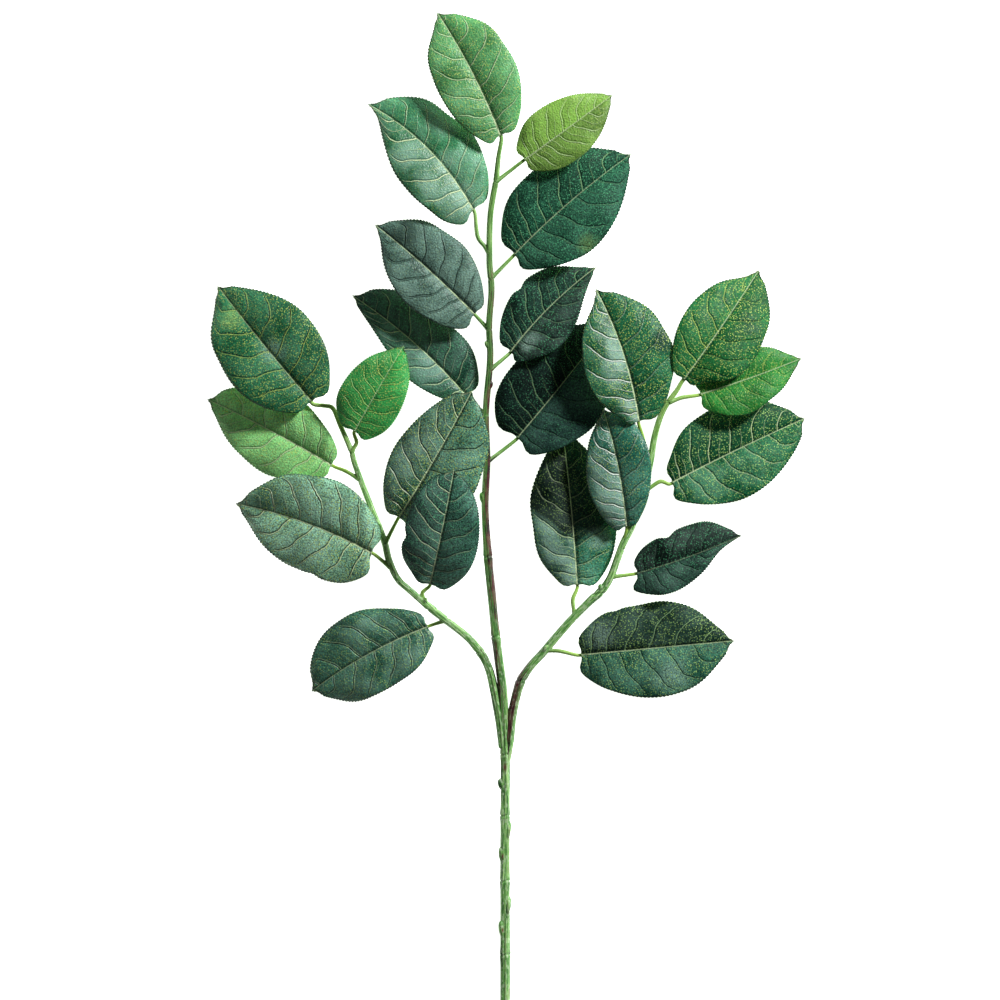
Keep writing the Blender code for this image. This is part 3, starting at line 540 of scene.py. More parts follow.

# %% Look of each leaf
# How one leaf looks: its green, the lightness of its left and right half and of its tip, which is partly painted
# light and shade, with a dark tip as a painted shadow, its veins, points and net, the bloom of pale wax with
# painted sheen on its left and right half and the share of the half-width that it covers, its roughness, the
# strength of its shine, how pale its midrib is and on which side a line of painted shade runs along it, how strong
# the painted shade in its creases and its grain are, and spots of painted sheen, glints and shadow: x, y and
# radius in mm, share and tint of each.
Look = namedtuple(
    "Look", "green light tip vein veins point points net bloom band rough wax rib shade contrast spots",
    defaults=((1.0, 1.0), 1.0, "pale vein", (0.8, 0.8), "yellow point", 0.5, 0.0, (0.1, 0.1), 0.85, 0.5, 1.0, 0.8,
              "right", 1.0, ()))
LOOKS = {
    "leaf_centre_1": Look("fresh", veins=(0.65, 0.65), net=0.1, points=0.9, bloom=(0.2, 0.1),
        rough=0.46, rib=1.0, contrast=0.5),
    "leaf_centre_2": Look("jade", light=(0.68, 1.15), veins=(1.0, 0.5), points=0.35, bloom=(0.5, 0.5), rough=0.4,
        rib=1.0, contrast=0.6),
    "leaf_centre_3": Look("spring", light=(1.4, 0.86), veins=(0.45, 0.45), net=0.1, points=0.6, bloom=(0, 0),
        rough=0.46, contrast=0.4),
    "leaf_centre_4": Look("pine", light=(0.7, 0.9), vein="green vein", veins=(0.5, 0.12), point="green point",
        points=0.8, bloom=(0, 0.04), wax=0.2, rib=0.45, shade="left", contrast=1.2,
        spots=((58, 184, 12, 0.2, "leaf point"),)),
    "leaf_centre_5": Look("slate", light=(1.2, 1.2), vein="dark vein", veins=(0.5, 0.5), points=0.15, net=0.1,
        bloom=(0.3, 0.25), rough=0.48, wax=0.7, spots=((-70, 192, 14, 0.55, "ink"),)),
    "leaf_centre_6": Look("bottle", light=(0.98, 0.7), veins=(0.6, 0.3), point="green point", points=0.6,
        bloom=(0.3, 0.15), rough=0.42, wax=0.7),
    "leaf_centre_7": Look("night", light=(0.9, 0.6), vein="green vein", veins=(0.35, 0.15), point="green point",
        points=0.7, bloom=(0, 0.15), wax=0.2, rib=0.6, spots=((15.5, 115.0, 10, 0.42, "bloom"),)),
    "leaf_centre_8": Look("ink", light=(0.45, 1.85), vein="green vein", veins=(0.25, 0.04), point="green point",
        points=0.3, bloom=(0, 0.04), rough=0.6, wax=0.1, rib=0.4),
    "leaf_left_1": Look("clover", light=(1.02, 0.86), points=0.75, vein="yellow point", veins=(0.5, 0.5), wax=0.7,
        rib=0.5, spots=((-164, 110, 13, 0.3, "bloom"), (-193, 134, 12, 0.25, "leaf point"))),
    "leaf_left_2": Look("meadow", light=(1.85, 1.65), veins=(0.8, 0.5), points=0.95, rib=1.0,
        contrast=0.6),
    "leaf_left_3": Look("apple", light=(1.15, 1.65), points=0.8, vein="yellow point", veins=(0.5, 0.5),
        bloom=(0, 0), rib=0.55, contrast=0.3),
    "leaf_left_4": Look("ash", light=(1.7, 2.25), points=1.0, veins=(0.85, 0.75), bloom=(0.35, 0.45), rough=0.38,
        rib=1.0, contrast=1.4, spots=((-170, 6, 17, 0.6, "pine"),)),
    "leaf_left_5": Look("dusty", light=(0.6, 0.97), points=0.85, veins=(0.7, 0.2), bloom=(0.35, 0.35), rough=0.42,
        rib=1.0, contrast=1.5),
    "leaf_left_6": Look("night", light=(2.05, 3.5), point="green point", points=0.9, veins=(0.55, 0.25),
        bloom=(0.15, 0.1), wax=0.6, rib=0.7, contrast=1.4),
    "leaf_left_7": Look("bottle", light=(1.45, 1.55), point="leaf point", points=0.95, veins=(0.3, 0.3),
        bloom=(0.35, 0.35), rough=0.44, rib=0.6, contrast=1.2),
    "leaf_right_1": Look("clover", light=(0.76, 0.82), vein="white vein", veins=(0.8, 0.12), points=0.8,
        bloom=(0.65, 0.05), band=0.5, rough=0.42, wax=0.6, rib=1.0, spots=((110, 117, 13, 0.55, "ink"),)),
    "leaf_right_2": Look("moss", light=(0.65, 0.5), points=0.8, vein="yellow point", veins=(0.5, 0.1),
        bloom=(0.05, 0), wax=0.4, rib=0.6, contrast=0.8),
    "leaf_right_3": Look("grass", light=(0.82, 0.82), points=0.6, vein="yellow point", veins=(0.3, 0.2),
        bloom=(0, 0), wax=0.6, rib=0.7, contrast=0.5),
    "leaf_right_4": Look("clover", light=(0.45, 0.75), point="leaf point", points=0.85, veins=(0.6, 0.3),
        bloom=(0.03, 0.15), wax=0.2, rib=0.7, shade="left"),
    "leaf_right_5": Look("teal", light=(0.92, 1.28), vein="white vein", veins=(0.8, 0.15), points=0.5,
        bloom=(0.5, 0.15), rough=0.36),
    "leaf_right_6": Look("bottle", light=(0.76, 2.6), tip=0.12, point="leaf point", points=0.7, veins=(0.5, 0.4),
        bloom=(0.5, 0.2), rough=0.42, wax=0.15, spots=((66, -22, 12, 0.38, "bloom"),)),
    "leaf_right_7": Look("night", light=(0.3, 1.22), vein="grey vein", veins=(0.1, 0.12), point="green point",
        points=0.6, wax=0.2, rib=0.2),
    "leaf_right_8": Look("bottle", light=(0.28, 0.92), vein="green vein", point="leaf point", points=0.7,
        veins=(0.5, 0.2), rough=0.46, wax=0.2, rib=0.6, shade="left", contrast=1.2,
        spots=((66, -89, 14, 0.26, "bloom"), (115, -117, 18, 0.22, "bloom"))),
}
print("leaves with a look of their own:", len(LOOKS))

# %% [markdown]
# A leaf's material first reads the distances that its blade carries. Lines are then drawn by them: side veins,
# smaller veins halfway between them, the midrib, and painted shade in the creases beside them. Noise patterns add
# the grain, the blotches and the bloom of wax with its painted sheen, and all of it is laid over the green in
# layers. The inputs of a Map Range node are a value, the two ends of the range that it lies in, and the two ends
# of the range that it is turned to.

# %% Lines on a leaf
VEIN_WIDTH, VEIN_END_WIDTH = 0.7, 0.45
LINE_CORE = 0.15
Marks = namedtuple("Marks", "middle off_middle space edge number part place")


def leaf_marks(tree):
    """What a blade carries: the distance from the midrib, positive on the left and without its sign, the space
    between two side veins and the distance from the edge, all in mm, the number of the vein and the part past the
    nearest one, and the place on the branch."""
    marks = node(tree, "Attribute", out="Vector", attribute_name="vein_mm")
    middle, space, edge = node(tree, "SeparateXYZ", (marks,)).node.outputs
    off_middle = node(tree, "Math", (middle,), operation="ABSOLUTE")
    number = node(tree, "Attribute", out="Fac", attribute_name="vein_number")
    nearest = node(tree, "Math", (number,), operation="ROUND")
    part = node(tree, "Math", (number, nearest), operation="SUBTRACT")
    place = node(tree, "TexCoord", out="Object")
    return Marks(middle, off_middle, space, edge, number, part, place)


def stroke(tree, signed, reach, core=LINE_CORE):
    """A soft line: 1 within its core and 0 beyond its reach, by the signed distance from its middle."""
    off = node(tree, "Math", (signed,), operation="ABSOLUTE")
    return node(tree, "MapRange", (off, reach, core, 0.0, 1.0), interpolation_type="SMOOTHSTEP")


# %% Veins and creases
MIDRIB_WIDTH, MIDRIB_TIP_WIDTH = 0.9, 0.45
SMALL_VEIN_WIDTH, SMALL_VEIN_START, SMALL_VEIN_END = 0.4, 5.0, 17.0
WAVER, EDGE_WAVER, EDGE_PLACE = 0.4, 1.2, 28.0
CREASE_PLACE, CREASE_WIDTH = 0.85, 0.6
RIB_SHADE_WIDTH, RIB_SHADE_TIP_WIDTH = 3.6, 1.4


def vein_lines(tree, marks, look, swing):
    """From 0 to 1: the side veins and the small ones between them, the midrib, and the lines of painted shade in
    the creases beside them.
    """
    middle, off_middle, space, edge, number, part, _ = marks

    # Side veins with a line of painted shade in the crease beside each, a little wavy towards the edge, so that no
    # vein is ruled
    freedom = node(tree, "MapRange", (off_middle, 0.0, EDGE_PLACE, WAVER, EDGE_WAVER))
    waver = node(tree, "Math", (swing, freedom), operation="MULTIPLY")
    across = node(tree, "Math", (part, space, waver), operation="MULTIPLY_ADD")
    beside = node(tree, "Math", (across, -CREASE_PLACE), operation="ADD")
    boldness = 0.7 + 0.3 * max(look.veins)
    thinner = node(tree, "MapRange", (off_middle, 0.0, 30.0, boldness * VEIN_WIDTH, boldness * VEIN_END_WIDTH))
    before_edge = node(tree, "MapRange", (edge, 1.2, 6.0))
    side_veins, vein_crease_and_shade = (
        node(tree, "Math", (stroke(tree, *measures), before_edge), operation="MULTIPLY")
        for measures in ((across, thinner), (beside, CREASE_WIDTH, 0.1)))

    # The midrib, and a line of painted shade along one side of it
    past_rib = node(tree, "Math", (middle, 1.0 if look.shade == "left" else -1.0), operation="MULTIPLY")
    shade_reach = node(tree, "MapRange", (number, 0.0, VEINS, RIB_SHADE_WIDTH, RIB_SHADE_TIP_WIDTH))
    fading = node(tree, "MapRange", (past_rib, 0.6, shade_reach, 1.0, 0.0))
    this_side = node(tree, "Math", (past_rib, 0.2), operation="GREATER_THAN")
    rib_crease_and_shade = node(tree, "Math", (fading, this_side), operation="MULTIPLY")
    crease_and_shade = node(tree, "Math", (vein_crease_and_shade, rib_crease_and_shade), operation="MAXIMUM")
    slimmer = node(tree, "MapRange", (number, 0.0, VEINS, (0.6 + 0.4 * look.rib) * MIDRIB_WIDTH, MIDRIB_TIP_WIDTH))
    midrib = stroke(tree, middle, slimmer)

    # Thinner and shorter veins halfway between the side veins
    after = node(tree, "Math", (number,), operation="FRACT")
    from_half = node(tree, "Math", (after, -0.5), operation="ADD")
    between = node(tree, "Math", (from_half, space, waver), operation="MULTIPLY_ADD")
    short = node(tree, "MapRange", (off_middle, SMALL_VEIN_START, SMALL_VEIN_END, 0.6, 0.0))
    small_line = stroke(tree, between, SMALL_VEIN_WIDTH, 0.05)
    small_veins = node(tree, "Math", (small_line, short), operation="MULTIPLY")
    all_veins = node(tree, "Math", (side_veins, small_veins), operation="MAXIMUM")
    return all_veins, midrib, crease_and_shade


# %% Net and points
NET_CELL, NET_BEND = 2.0, 0.002
POINT_CELL = 1.25  # a real leaf's points are finer: these are as coarse as they need to be to show


def net_and_points(tree, look, shifted, wobble, crowd):
    """From 0 to 1: the net of the smallest veins, the pillows in its cells, and points that stand in crowds."""
    bent = node(tree, "Mix", {0: NET_BEND, 4: shifted, 5: wobble.node.outputs["Color"]}, out=1, data_type="VECTOR")
    gap = node(tree, "TexVoronoi", {"Vector": bent, "Scale": 1 / (NET_CELL * MM)}, out="Distance",
               feature="DISTANCE_TO_EDGE")
    net = node(tree, "MapRange", (gap, 0.1, 0.0, 0.0, look.net))
    pillow = node(tree, "MapRange", (gap, 0.0, 0.35, 0.0, 1.0), interpolation_type="SMOOTHSTEP")
    dots = node(tree, "TexVoronoi", {"Vector": shifted, "Scale": 1 / (POINT_CELL * MM)})
    chosen = node(tree, "SeparateColor", (dots.node.outputs["Color"],))
    points = node(tree, "MapRange", (chosen, 0.1, 0.45, 0.0, look.points))
    dot = node(tree, "MapRange", (dots, 0.4, 0.26, 0.0, 1.0))
    crowded = node(tree, "MapRange", (crowd, 0.38, 0.56, 0.45, 1.0))
    for factor in (crowded, dot):
        points = node(tree, "Math", (points, factor), operation="MULTIPLY")
    return net, pillow, points


# %% Lightness with painted light and shade, bloom with painted sheen, and strength of the veins
HALVES_MEET = 0.6


def half_shares(tree, marks, look, blotch, sandy, to_tip):
    """The lightness, partly painted light and shade, the bloom of wax with painted sheen, and the strength of the
    veins, which differ on the two halves of a leaf, and its grain.
    """
    # The lightness of each half and of the tip is partly painted light and shade: it darkens halves and tips that
    # lie in shadow and lightens halves that the softbox leaves dim.
    tone_and_painted_light, bloom, vein_share = (
        node(tree, "MapRange", (marks.middle, -HALVES_MEET, HALVES_MEET, right, left))
        for left, right in (look.light, look.bloom, look.veins))
    half_span = min(0.5 * look.contrast, 0.75)
    grain = node(tree, "MapRange", (sandy, 0.35, 0.65, 1 - half_span, 1 + half_span))
    blotched = node(tree, "MapRange", (blotch, 0.3, 0.7, 0.6, 1.4))
    for factor in (grain, to_tip, blotched):
        tone_and_painted_light = node(tree, "Math", (tone_and_painted_light, factor), operation="MULTIPLY")

    # The bloom of wax and its painted sheen fade towards the edge and the tip, and darken with the painted shade of
    # the tip
    half_width = node(tree, "Math", (marks.off_middle, marks.edge), operation="ADD")
    outward = node(tree, "Math", (marks.off_middle, half_width), operation="DIVIDE")
    bloom_and_sheen_band = node(tree, "MapRange", (outward, look.band - 0.1, look.band + 0.15, 1.0, 0.2))
    thin_end = node(tree, "MapRange", (marks.number, 0.55 * VEINS, 0.9 * VEINS, 1.0, 0.3))
    bloom_and_sheen_patches = node(tree, "MapRange", (blotch, 0.38, 0.6))
    for factor in (bloom_and_sheen_patches, bloom_and_sheen_band, thin_end, to_tip):
        bloom = node(tree, "Math", (bloom, factor), operation="MULTIPLY")
    return tone_and_painted_light, bloom, vein_share, grain


# %% Material of the upper face
WAVE_SIZE, CROWD_SIZE, BLOTCH_SIZE = 6.0, 14.0, 22.0
GRAIN_SIZE = 1.0  # coarser than on a real leaf, so that it shows
TIP_SHADE_START, TIP_SHADE_END = 0.41, 0.47
RIM_WIDTH = 1.3
# How far the painted shade in the creases, and the darker rim, go towards ink
CREASE_SHARE = 0.55
SPOT_WARP = 14.0


def leaf_upper(name, look, seed):
    """Living leaf with a skin of wax: IOR 1.45, satin, roughness 0.36 to 0.6, a bloom of paler wax with painted
    sheen on some, and painted shade in its creases, on shadowed halves and tips, and in spots.
    """
    finish, tree, shader = new_material(name)
    marks = leaf_marks(tree)
    shifted = node(tree, "VectorMath", (marks.place, (0.37 * seed, 0.19 * seed, 0.0)))
    wobble, crowd, blotch, sandy = (
        node(tree, "TexNoise", {"Vector": shifted, "Scale": 1 / (size * MM), "Detail": detail, "Roughness": rough})
        for size, detail, rough in ((WAVE_SIZE, 2.0, 0.5), (CROWD_SIZE, 3.0, 0.5), (BLOTCH_SIZE, 5.0, 0.6),
                                    (GRAIN_SIZE, 1.0, 0.5)))
    swing = node(tree, "MapRange", {0: wobble, 3: -1.0, 4: 1.0})
    all_veins, midrib, crease_and_shade = vein_lines(tree, marks, look, swing)
    net, pillow, points = net_and_points(tree, look, shifted, wobble, crowd)

    # The half of a leaf towards its tip may lie in shade, and its veins and points are then dimmed too
    to_tip = node(tree, "MapRange", (marks.number, TIP_SHADE_START * VEINS, TIP_SHADE_END * VEINS, 1.0, look.tip))
    dimmed = node(tree, "MapRange", {0: to_tip, 3: 0.35, 4: 1.0})
    tone_and_painted_light, bloom, vein_share, grain = half_shares(tree, marks, look, blotch, sandy, to_tip)
    points = node(tree, "Math", (points, dimmed), operation="MULTIPLY")
    for factor in (dimmed, all_veins):
        vein_share = node(tree, "Math", (vein_share, factor), operation="MULTIPLY")
    rib_fade = node(tree, "MapRange", (marks.number, 0.25 * VEINS, 0.75 * VEINS, look.rib, 0.65 * look.rib))
    rib_share = node(tree, "Math", (midrib, rib_fade), operation="MULTIPLY")
    rim = node(tree, "MapRange", (marks.edge, 0.3, RIM_WIDTH, 1.0, 0.0))
    # Painted shade in the creases, with the darker rim, is laid on in ink
    shade_and_rim_lines = node(tree, "Math", (crease_and_shade, rim), operation="MAXIMUM")
    dark = node(tree, "Math", (shade_and_rim_lines, look.contrast * CREASE_SHARE), operation="MULTIPLY")

    # Colour: layers over the green, from the bloom of wax with painted sheen up to the midrib. The spots of painted
    # sheen, glints and shadow have uneven edges
    layers = [(bloom, "bloom")]
    uneven = node(tree, "VectorMath", (crowd.node.outputs["Color"], (SPOT_WARP * MM, SPOT_WARP * MM, 0)),
                  operation="MULTIPLY")
    flat = node(tree, "VectorMath", (marks.place, (1, 1, 0), uneven), operation="MULTIPLY_ADD")
    # Each spot is painted light or shade: sheen and glints in the bloom and leaf point tints, shadows in ink and
    # pine
    for x, y, radius, share, tint in look.spots:
        centre = ((x + SPOT_WARP / 2) * MM, (y + SPOT_WARP / 2) * MM, 0)
        away = node(tree, "VectorMath", (flat, centre), out="Value", operation="DISTANCE")
        covered = node(tree, "MapRange", (away, radius * MM, 0.2 * radius * MM, 0.0, share),
                       interpolation_type="SMOOTHSTEP")
        layers.append((node(tree, "Math", (covered, grain), operation="MULTIPLY"), tint))
    layers += [(dark, "ink"), (points, look.point), (net, look.vein), (vein_share, look.vein),
               (rib_share, "pale vein")]
    colour = node(tree, "HueSaturation", {"Color": linear(GREENS[look.green]), "Value": tone_and_painted_light})
    for share, tint in layers:
        colour = node(tree, "Mix", {0: share, 6: colour, 7: linear(GREENS[tint])}, out=2, data_type="RGBA")

    # Fine relief: pillows between sunken veins, with the vein itself as a thin cord
    cord = node(tree, "Math", (vein_share, 1.4), operation="MULTIPLY")
    cords = node(tree, "Math", (pillow, 0.3, cord), operation="MULTIPLY_ADD")
    height = node(tree, "Math", (crease_and_shade, -0.9 * look.contrast, cords), operation="MULTIPLY_ADD")
    relief = node(tree, "Bump", {"Strength": 0.9, "Distance": 0.5 * MM, "Height": height})
    rough = node(tree, "MapRange", (blotch, 0.35, 0.65, look.rough - 0.05, look.rough + 0.07))
    fill(shader, {"Base Color": colour, "Roughness": rough, "Normal": relief, "IOR": 1.45,
                  "Specular IOR Level": 0.5 * look.wax})
    return finish


# %% Material of the underside
def leaf_under():
    """Living leaf without wax, roughness 0.62: paler and dull, with raised veins."""
    finish, tree, shader = new_material("leaf underside")
    marks = leaf_marks(tree)
    across = node(tree, "Math", (marks.part, marks.space), operation="MULTIPLY")
    off_vein = node(tree, "Math", (across,), operation="ABSOLUTE")
    nearest = node(tree, "Math", (marks.off_middle, off_vein), operation="MINIMUM")
    lines = node(tree, "MapRange", (nearest, VEIN_WIDTH, 0.1, 0.0, 0.6))
    blotch = node(tree, "TexNoise", {"Vector": marks.place, "Scale": 1 / (4 * MM), "Detail": 4.0})
    colour = linear("#6f9565")
    for share, tint in ((blotch, GREENS["underside"]), (lines, "#c2d29a")):
        colour = node(tree, "Mix", {0: share, 6: colour, 7: linear(tint)}, out=2, data_type="RGBA")
    relief = node(tree, "Bump", {"Strength": 0.4, "Distance": 0.3 * MM, "Height": blotch})
    fill(shader, {"Base Color": colour, "Normal": relief, "Roughness": 0.62})
    return finish


underside = leaf_under()
for number, entry in enumerate(LEAVES):
    blade = blades[entry.name]
    blade.data.materials[0] = leaf_upper(entry.name.replace("leaf", "waxed leaf"), LOOKS[entry.name], number)
    blade.data.materials[1] = underside
    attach(blade, "root")
    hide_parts(entry.name)
print("leaf materials:", len(LEAVES) + 1)

# %% [markdown]
# ## The stems
# The stems are young wood: round, slightly ridged along their length, and swollen in rings where old leaves
# stood. A stem is drawn as a curve whose points each have a radius, which is how a long tapering shape is made
# most easily. Its leaf stalks are curves too, and small buds are stretched spheres. They are joined, and a voxel
# Remesh modifier then grows them into one skin, which gives soft forks with no seams.

# %% Measures of the stems
# Each stem's centre line, from its lower end up: x, y, z and radius.
MAIN_STEM = [
    (-0.7, -346.5, 3.0, 3.05), (-0.7, -274.5, 6.5, 3.0), (-0.7, -204.5, 11, 2.95), (-0.7, -166, 14.5, 3.0),
    (-2.3, -129.5, 19.5, 2.9), (-6.8, -92.5, 24, 2.8), (-10.5, -57.5, 27, 2.7), (-12.6, -36.5, 28.5, 2.6),
    (-14.7, 0, 31, 2.3), (-13.3, 33.5, 33, 2.15), (-14, 68.5, 34.5, 2.05), (-11.2, 103.5, 36, 2.0),
    (-11.9, 128, 37, 1.95), (-10.2, 152.5, 37.5, 1.95), (-11.6, 173.5, 38, 1.9), (-10.9, 205, 39, 1.8),
    (-7, 229.5, 39.5, 1.7), (-5.3, 245.5, 40, 1.4),
]
LEFT_BRANCH = [
    (-2.7, -168, 14.6, 2.3), (-4.6, -149, 17, 2.8), (-8.2, -129, 19.5, 2.75), (-12.2, -112.5, 21.5, 2.65),
    (-18.8, -100, 23, 2.5), (-28.7, -89, 24, 2.4), (-48, -74, 26, 2.2), (-67, -58, 28, 2.1),
    (-76, -49.5, 29, 2.1), (-82, -36.5, 29.5, 2.05), (-85.5, -22.5, 30, 2.0), (-94.5, 0.5, 30.5, 1.9),
    (-105, 28.5, 31, 1.75), (-108.5, 40.5, 31, 1.65), (-116, 58, 30.5, 1.5), (-121, 69.5, 30, 1.4),
    (-126.5, 71.5, 29, 1.25),
]
RIGHT_BRANCH = [
    (0.2, -178, 13.3, 2.3), (2.2, -163, 15, 2.9), (3.6, -149, 16.8, 2.95), (5.6, -137.5, 18.2, 2.85),
    (8.3, -127, 19.5, 2.8), (11.2, -119.5, 20.5, 2.7), (17.5, -110.5, 21.5, 2.65), (26.3, -101, 22.5, 2.6),
    (36.4, -89, 24, 2.5), (47, -77, 25.5, 2.45), (57.5, -66.5, 27, 2.4), (67, -57.5, 28, 2.35),
    (73, -48.5, 29, 2.3), (77.5, -36.5, 30, 2.25), (82, -24.5, 30.5, 2.2), (89, -10.5, 31, 2.1),
    (96, 11, 32, 2.05), (101, 32, 33, 2.0), (103.3, 47, 33.5, 1.95), (106.5, 59.5, 34, 1.85),
    (110, 68.5, 34.5, 1.75), (114, 75, 35, 1.6), (119.5, 82.5, 35, 1.3),
]

# Leaf stalks: the leaf, the point on the stem's centre line, and a point between if the stalk bends.
MAIN_STALKS = [
    ("leaf_centre_2", (-12.3, 179, 38.2), (-20, 190, 37)),
    ("leaf_centre_3", (-7, 228, 39.5)), ("leaf_centre_4", (-10.8, 160, 37.7)),
    ("leaf_centre_5", (-11.9, 124.5, 36.8)), ("leaf_centre_6", (-13.7, 65, 34.4)),
    ("leaf_centre_7", (-11.2, 96.5, 35.8)), ("leaf_centre_8", (-13.3, 32, 33)),
]
LEFT_STALKS = [
    ("leaf_left_2", (-103, 20.5, 30.8), (-112.5, 26, 29.5)),
    ("leaf_left_3", (-108, 39, 31), (-104.5, 46, 32.5)),
    ("leaf_left_4", (-81, -41.5, 29.3)),
    ("leaf_left_5", (-84.5, -24.5, 30)),
    ("leaf_left_6", (-57.5, -66, 27), (-58.5, -59, 27.5)),
    ("leaf_left_7", (-41.5, -78.5, 25.2)),
]
RIGHT_STALKS = [
    ("leaf_right_1", (99.5, 25, 32.7), (96, 47.5, 32)),
    ("leaf_right_3", (114, 74, 35), (123.5, 77.3, 33.3)),
    ("leaf_right_4", (97, 12, 32), (108, 18.6, 31)),
    ("leaf_right_5", (81.5, -28, 30.3)),
    ("leaf_right_6", (48, -77, 25.5), (46.8, -64, 24)),
    ("leaf_right_7", (73, -48.5, 29)),
    ("leaf_right_8", (28, -99.5, 22.8), (39, -100.5, 22.5)),
]

# Buds and nubs: x, y, z, radius, how far it reaches along the stem and the direction that it points in.
MAIN_BUDS = [
    (-13.2, 114, 36.6, 1.4, 2.8, (-0.4, 1, 0.2)),
    (-10.8, 86, 35.6, 1.3, 2.6, (0.3, 1, 0.2)),
    (-3.6, -194, 12.5, 1.9, 4.0, (-0.25, 1, 0.3)),
    (-3.0, -244, 9.5, 1.9, 6.0, (-0.15, 1, 0.15)),
    (-3.0, -296, 7.0, 1.9, 6.0, (-0.15, 1, 0.15)),
    (1.5, -226, 10.5, 1.9, 6.0, (-0.1, -1, 0.1)),
    (1.6, -279, 7.6, 1.9, 6.0, (-0.1, -1, 0.1)),
    (-16.6, 7, 32, 1.7, 4.0, (-0.2, 1, 0.2)),
]
LEFT_BUDS = [
    (-56.6, -65.2, 28.2, 1.5, 2.8, (0.3, 1, 0.4)),
    (-88.5, -13, 31.5, 1.3, 2.4, (0.5, 1, 0.4)),
]
RIGHT_BUDS = [
    (66.2, -56, 29.0, 1.5, 2.8, (-0.2, 1, 0.5)),
    (27, -98.5, 25, 1.6, 3.0, (0.6, 0.8, 0.6)),
]
print("leaf stalks:", len(MAIN_STALKS + LEFT_STALKS + RIGHT_STALKS))

# %% Paths of the stems and stalks
STALK_ROOT_RADIUS, STALK_RADIUS, STALK_TIP_RADIUS = 2.0, 1.4, 1.15
STALK_FOOT, STALK_FOOT_SHARE = 5.0, 0.45
SEAT_DROP, SEAT_REACH = 2.1, 0.025
MERGE_REACH, MERGE_RADIUS = 0.07, 0.6
PATH_STEP = 1.5


def smooth_path(points, step=PATH_STEP):
    """Points a step apart on a smooth curve through the given ones, each with its radius."""
    points = [Vector(p) for p in points]
    path = []
    for k in range(len(points) - 1):
        p0, p1, p2, p3 = (points[min(max(i, 0), len(points) - 1)] for i in (k - 1, k, k + 1, k + 2))
        count = max(1, round((p2.xyz - p1.xyz).length / step))
        for i in range(count):
            t = i / count
            path.append(0.5 * (2 * p1 + (p2 - p0) * t + (2 * p0 - 5 * p1 + 4 * p2 - p3) * t ** 2
                               + (3 * p1 - p0 - 3 * p2 + p3) * t ** 3))
    path.append(points[-1])
    return path


def leaf_seat(entry):
    """Three points of the stalk's centre line under the leaf's base, where it runs into the midrib."""
    _, _, _, normal = leaf_axes(entry)
    places = np.array([0.0, SEAT_REACH, MERGE_REACH])
    found, _ = blade_points(entry, places, np.zeros(3), np.ones(3))
    base, ahead, merge = [Vector(p) for p in found]
    drop = normal * SEAT_DROP
    back = base - (ahead - base) - drop
    under = merge - normal * (THICKNESS + MERGE_RADIUS)
    return (*back, STALK_TIP_RADIUS), (*(ahead - drop), STALK_TIP_RADIUS), (*under, MERGE_RADIUS)


def stalk_path(stalk):
    """The path of one leaf stalk, thicker where it leaves the stem."""
    name, root, *between = stalk
    seat = leaf_seat(LEAF[name])
    root = Vector((*root, STALK_ROOT_RADIUS))
    bends = [Vector((*p, STALK_RADIUS)) for p in between]
    ahead = bends[0] if bends else Vector(seat[0])
    reach = (ahead.xyz - root.xyz).length
    foot = root.lerp(ahead, min(STALK_FOOT_SHARE, STALK_FOOT / reach))
    foot.w = STALK_RADIUS
    return smooth_path([root, foot, *bends, *seat])


main_path = smooth_path([*MAIN_STEM, *leaf_seat(LEAF["leaf_centre_1"])])
left_path = smooth_path([*LEFT_BRANCH, *leaf_seat(LEAF["leaf_left_1"])])
right_path = smooth_path([*RIGHT_BRANCH, *leaf_seat(LEAF["leaf_right_2"])])
print("points on the main stem's path:", len(main_path))

# %% Model one stem
VOXEL = 0.45
REGAIN, REGAIN_ON_STALK = 0.3, 0.09  # mm, what smoothing the skin has taken away
RING_SWELL, RING_LENGTH = 0.45, 4.5
RING_CUT, RING_CUT_LENGTH = 0.6, 0.8
BARK_RADIUS, BARK_APART = 2.5, 400.0
BUD_SEGMENTS = 16
# Ridges: how many stand round the stem, their depth, and how they drift along it and start
RIDGES = ((5, 0.2, 23.0, 0.4), (9, 0.13, 11.0, 1.9))
# Scars of the bark: x, y, and reach across and along the stem
SCARS = ((-0.7, -182, 1.2, 3.0), (-2.3, -244.5, 0.7, 1.8), (-2.3, -296.5, 0.7, 1.8))
FOLLOW_CHUNK = 4000


def tube(path):
    """A curve with a round bevel and a radius at each point, turned to a mesh."""
    data = bpy.data.curves.new("tube", "CURVE")
    data.dimensions = "3D"
    data.bevel_depth = MM
    data.bevel_resolution = 4
    data.use_fill_caps = True
    line = data.splines.new("POLY")
    line.points.add(len(path) - 1)
    for point, place in zip(line.points, path):
        point.co = (*(place.xyz * MM), 1)
        point.radius = place.w
    piece = bpy.data.objects.new("tube", data)
    bpy.context.scene.collection.objects.link(piece)
    select(piece)
    bpy.ops.object.convert(target="MESH")
    return bpy.context.object


def bud(x, y, z, radius, reach, direction):
    """A sphere drawn out along the stem, as a resting bud."""
    turn = Vector(direction).to_track_quat("Z", "Y").to_euler()
    clear_selection()
    bpy.ops.mesh.primitive_uv_sphere_add(segments=BUD_SEGMENTS, ring_count=BUD_SEGMENTS // 2,
                                         radius=radius * MM, location=(x * MM, y * MM, z * MM), rotation=turn)
    piece = bpy.context.object
    piece.scale.z = reach / radius
    return piece


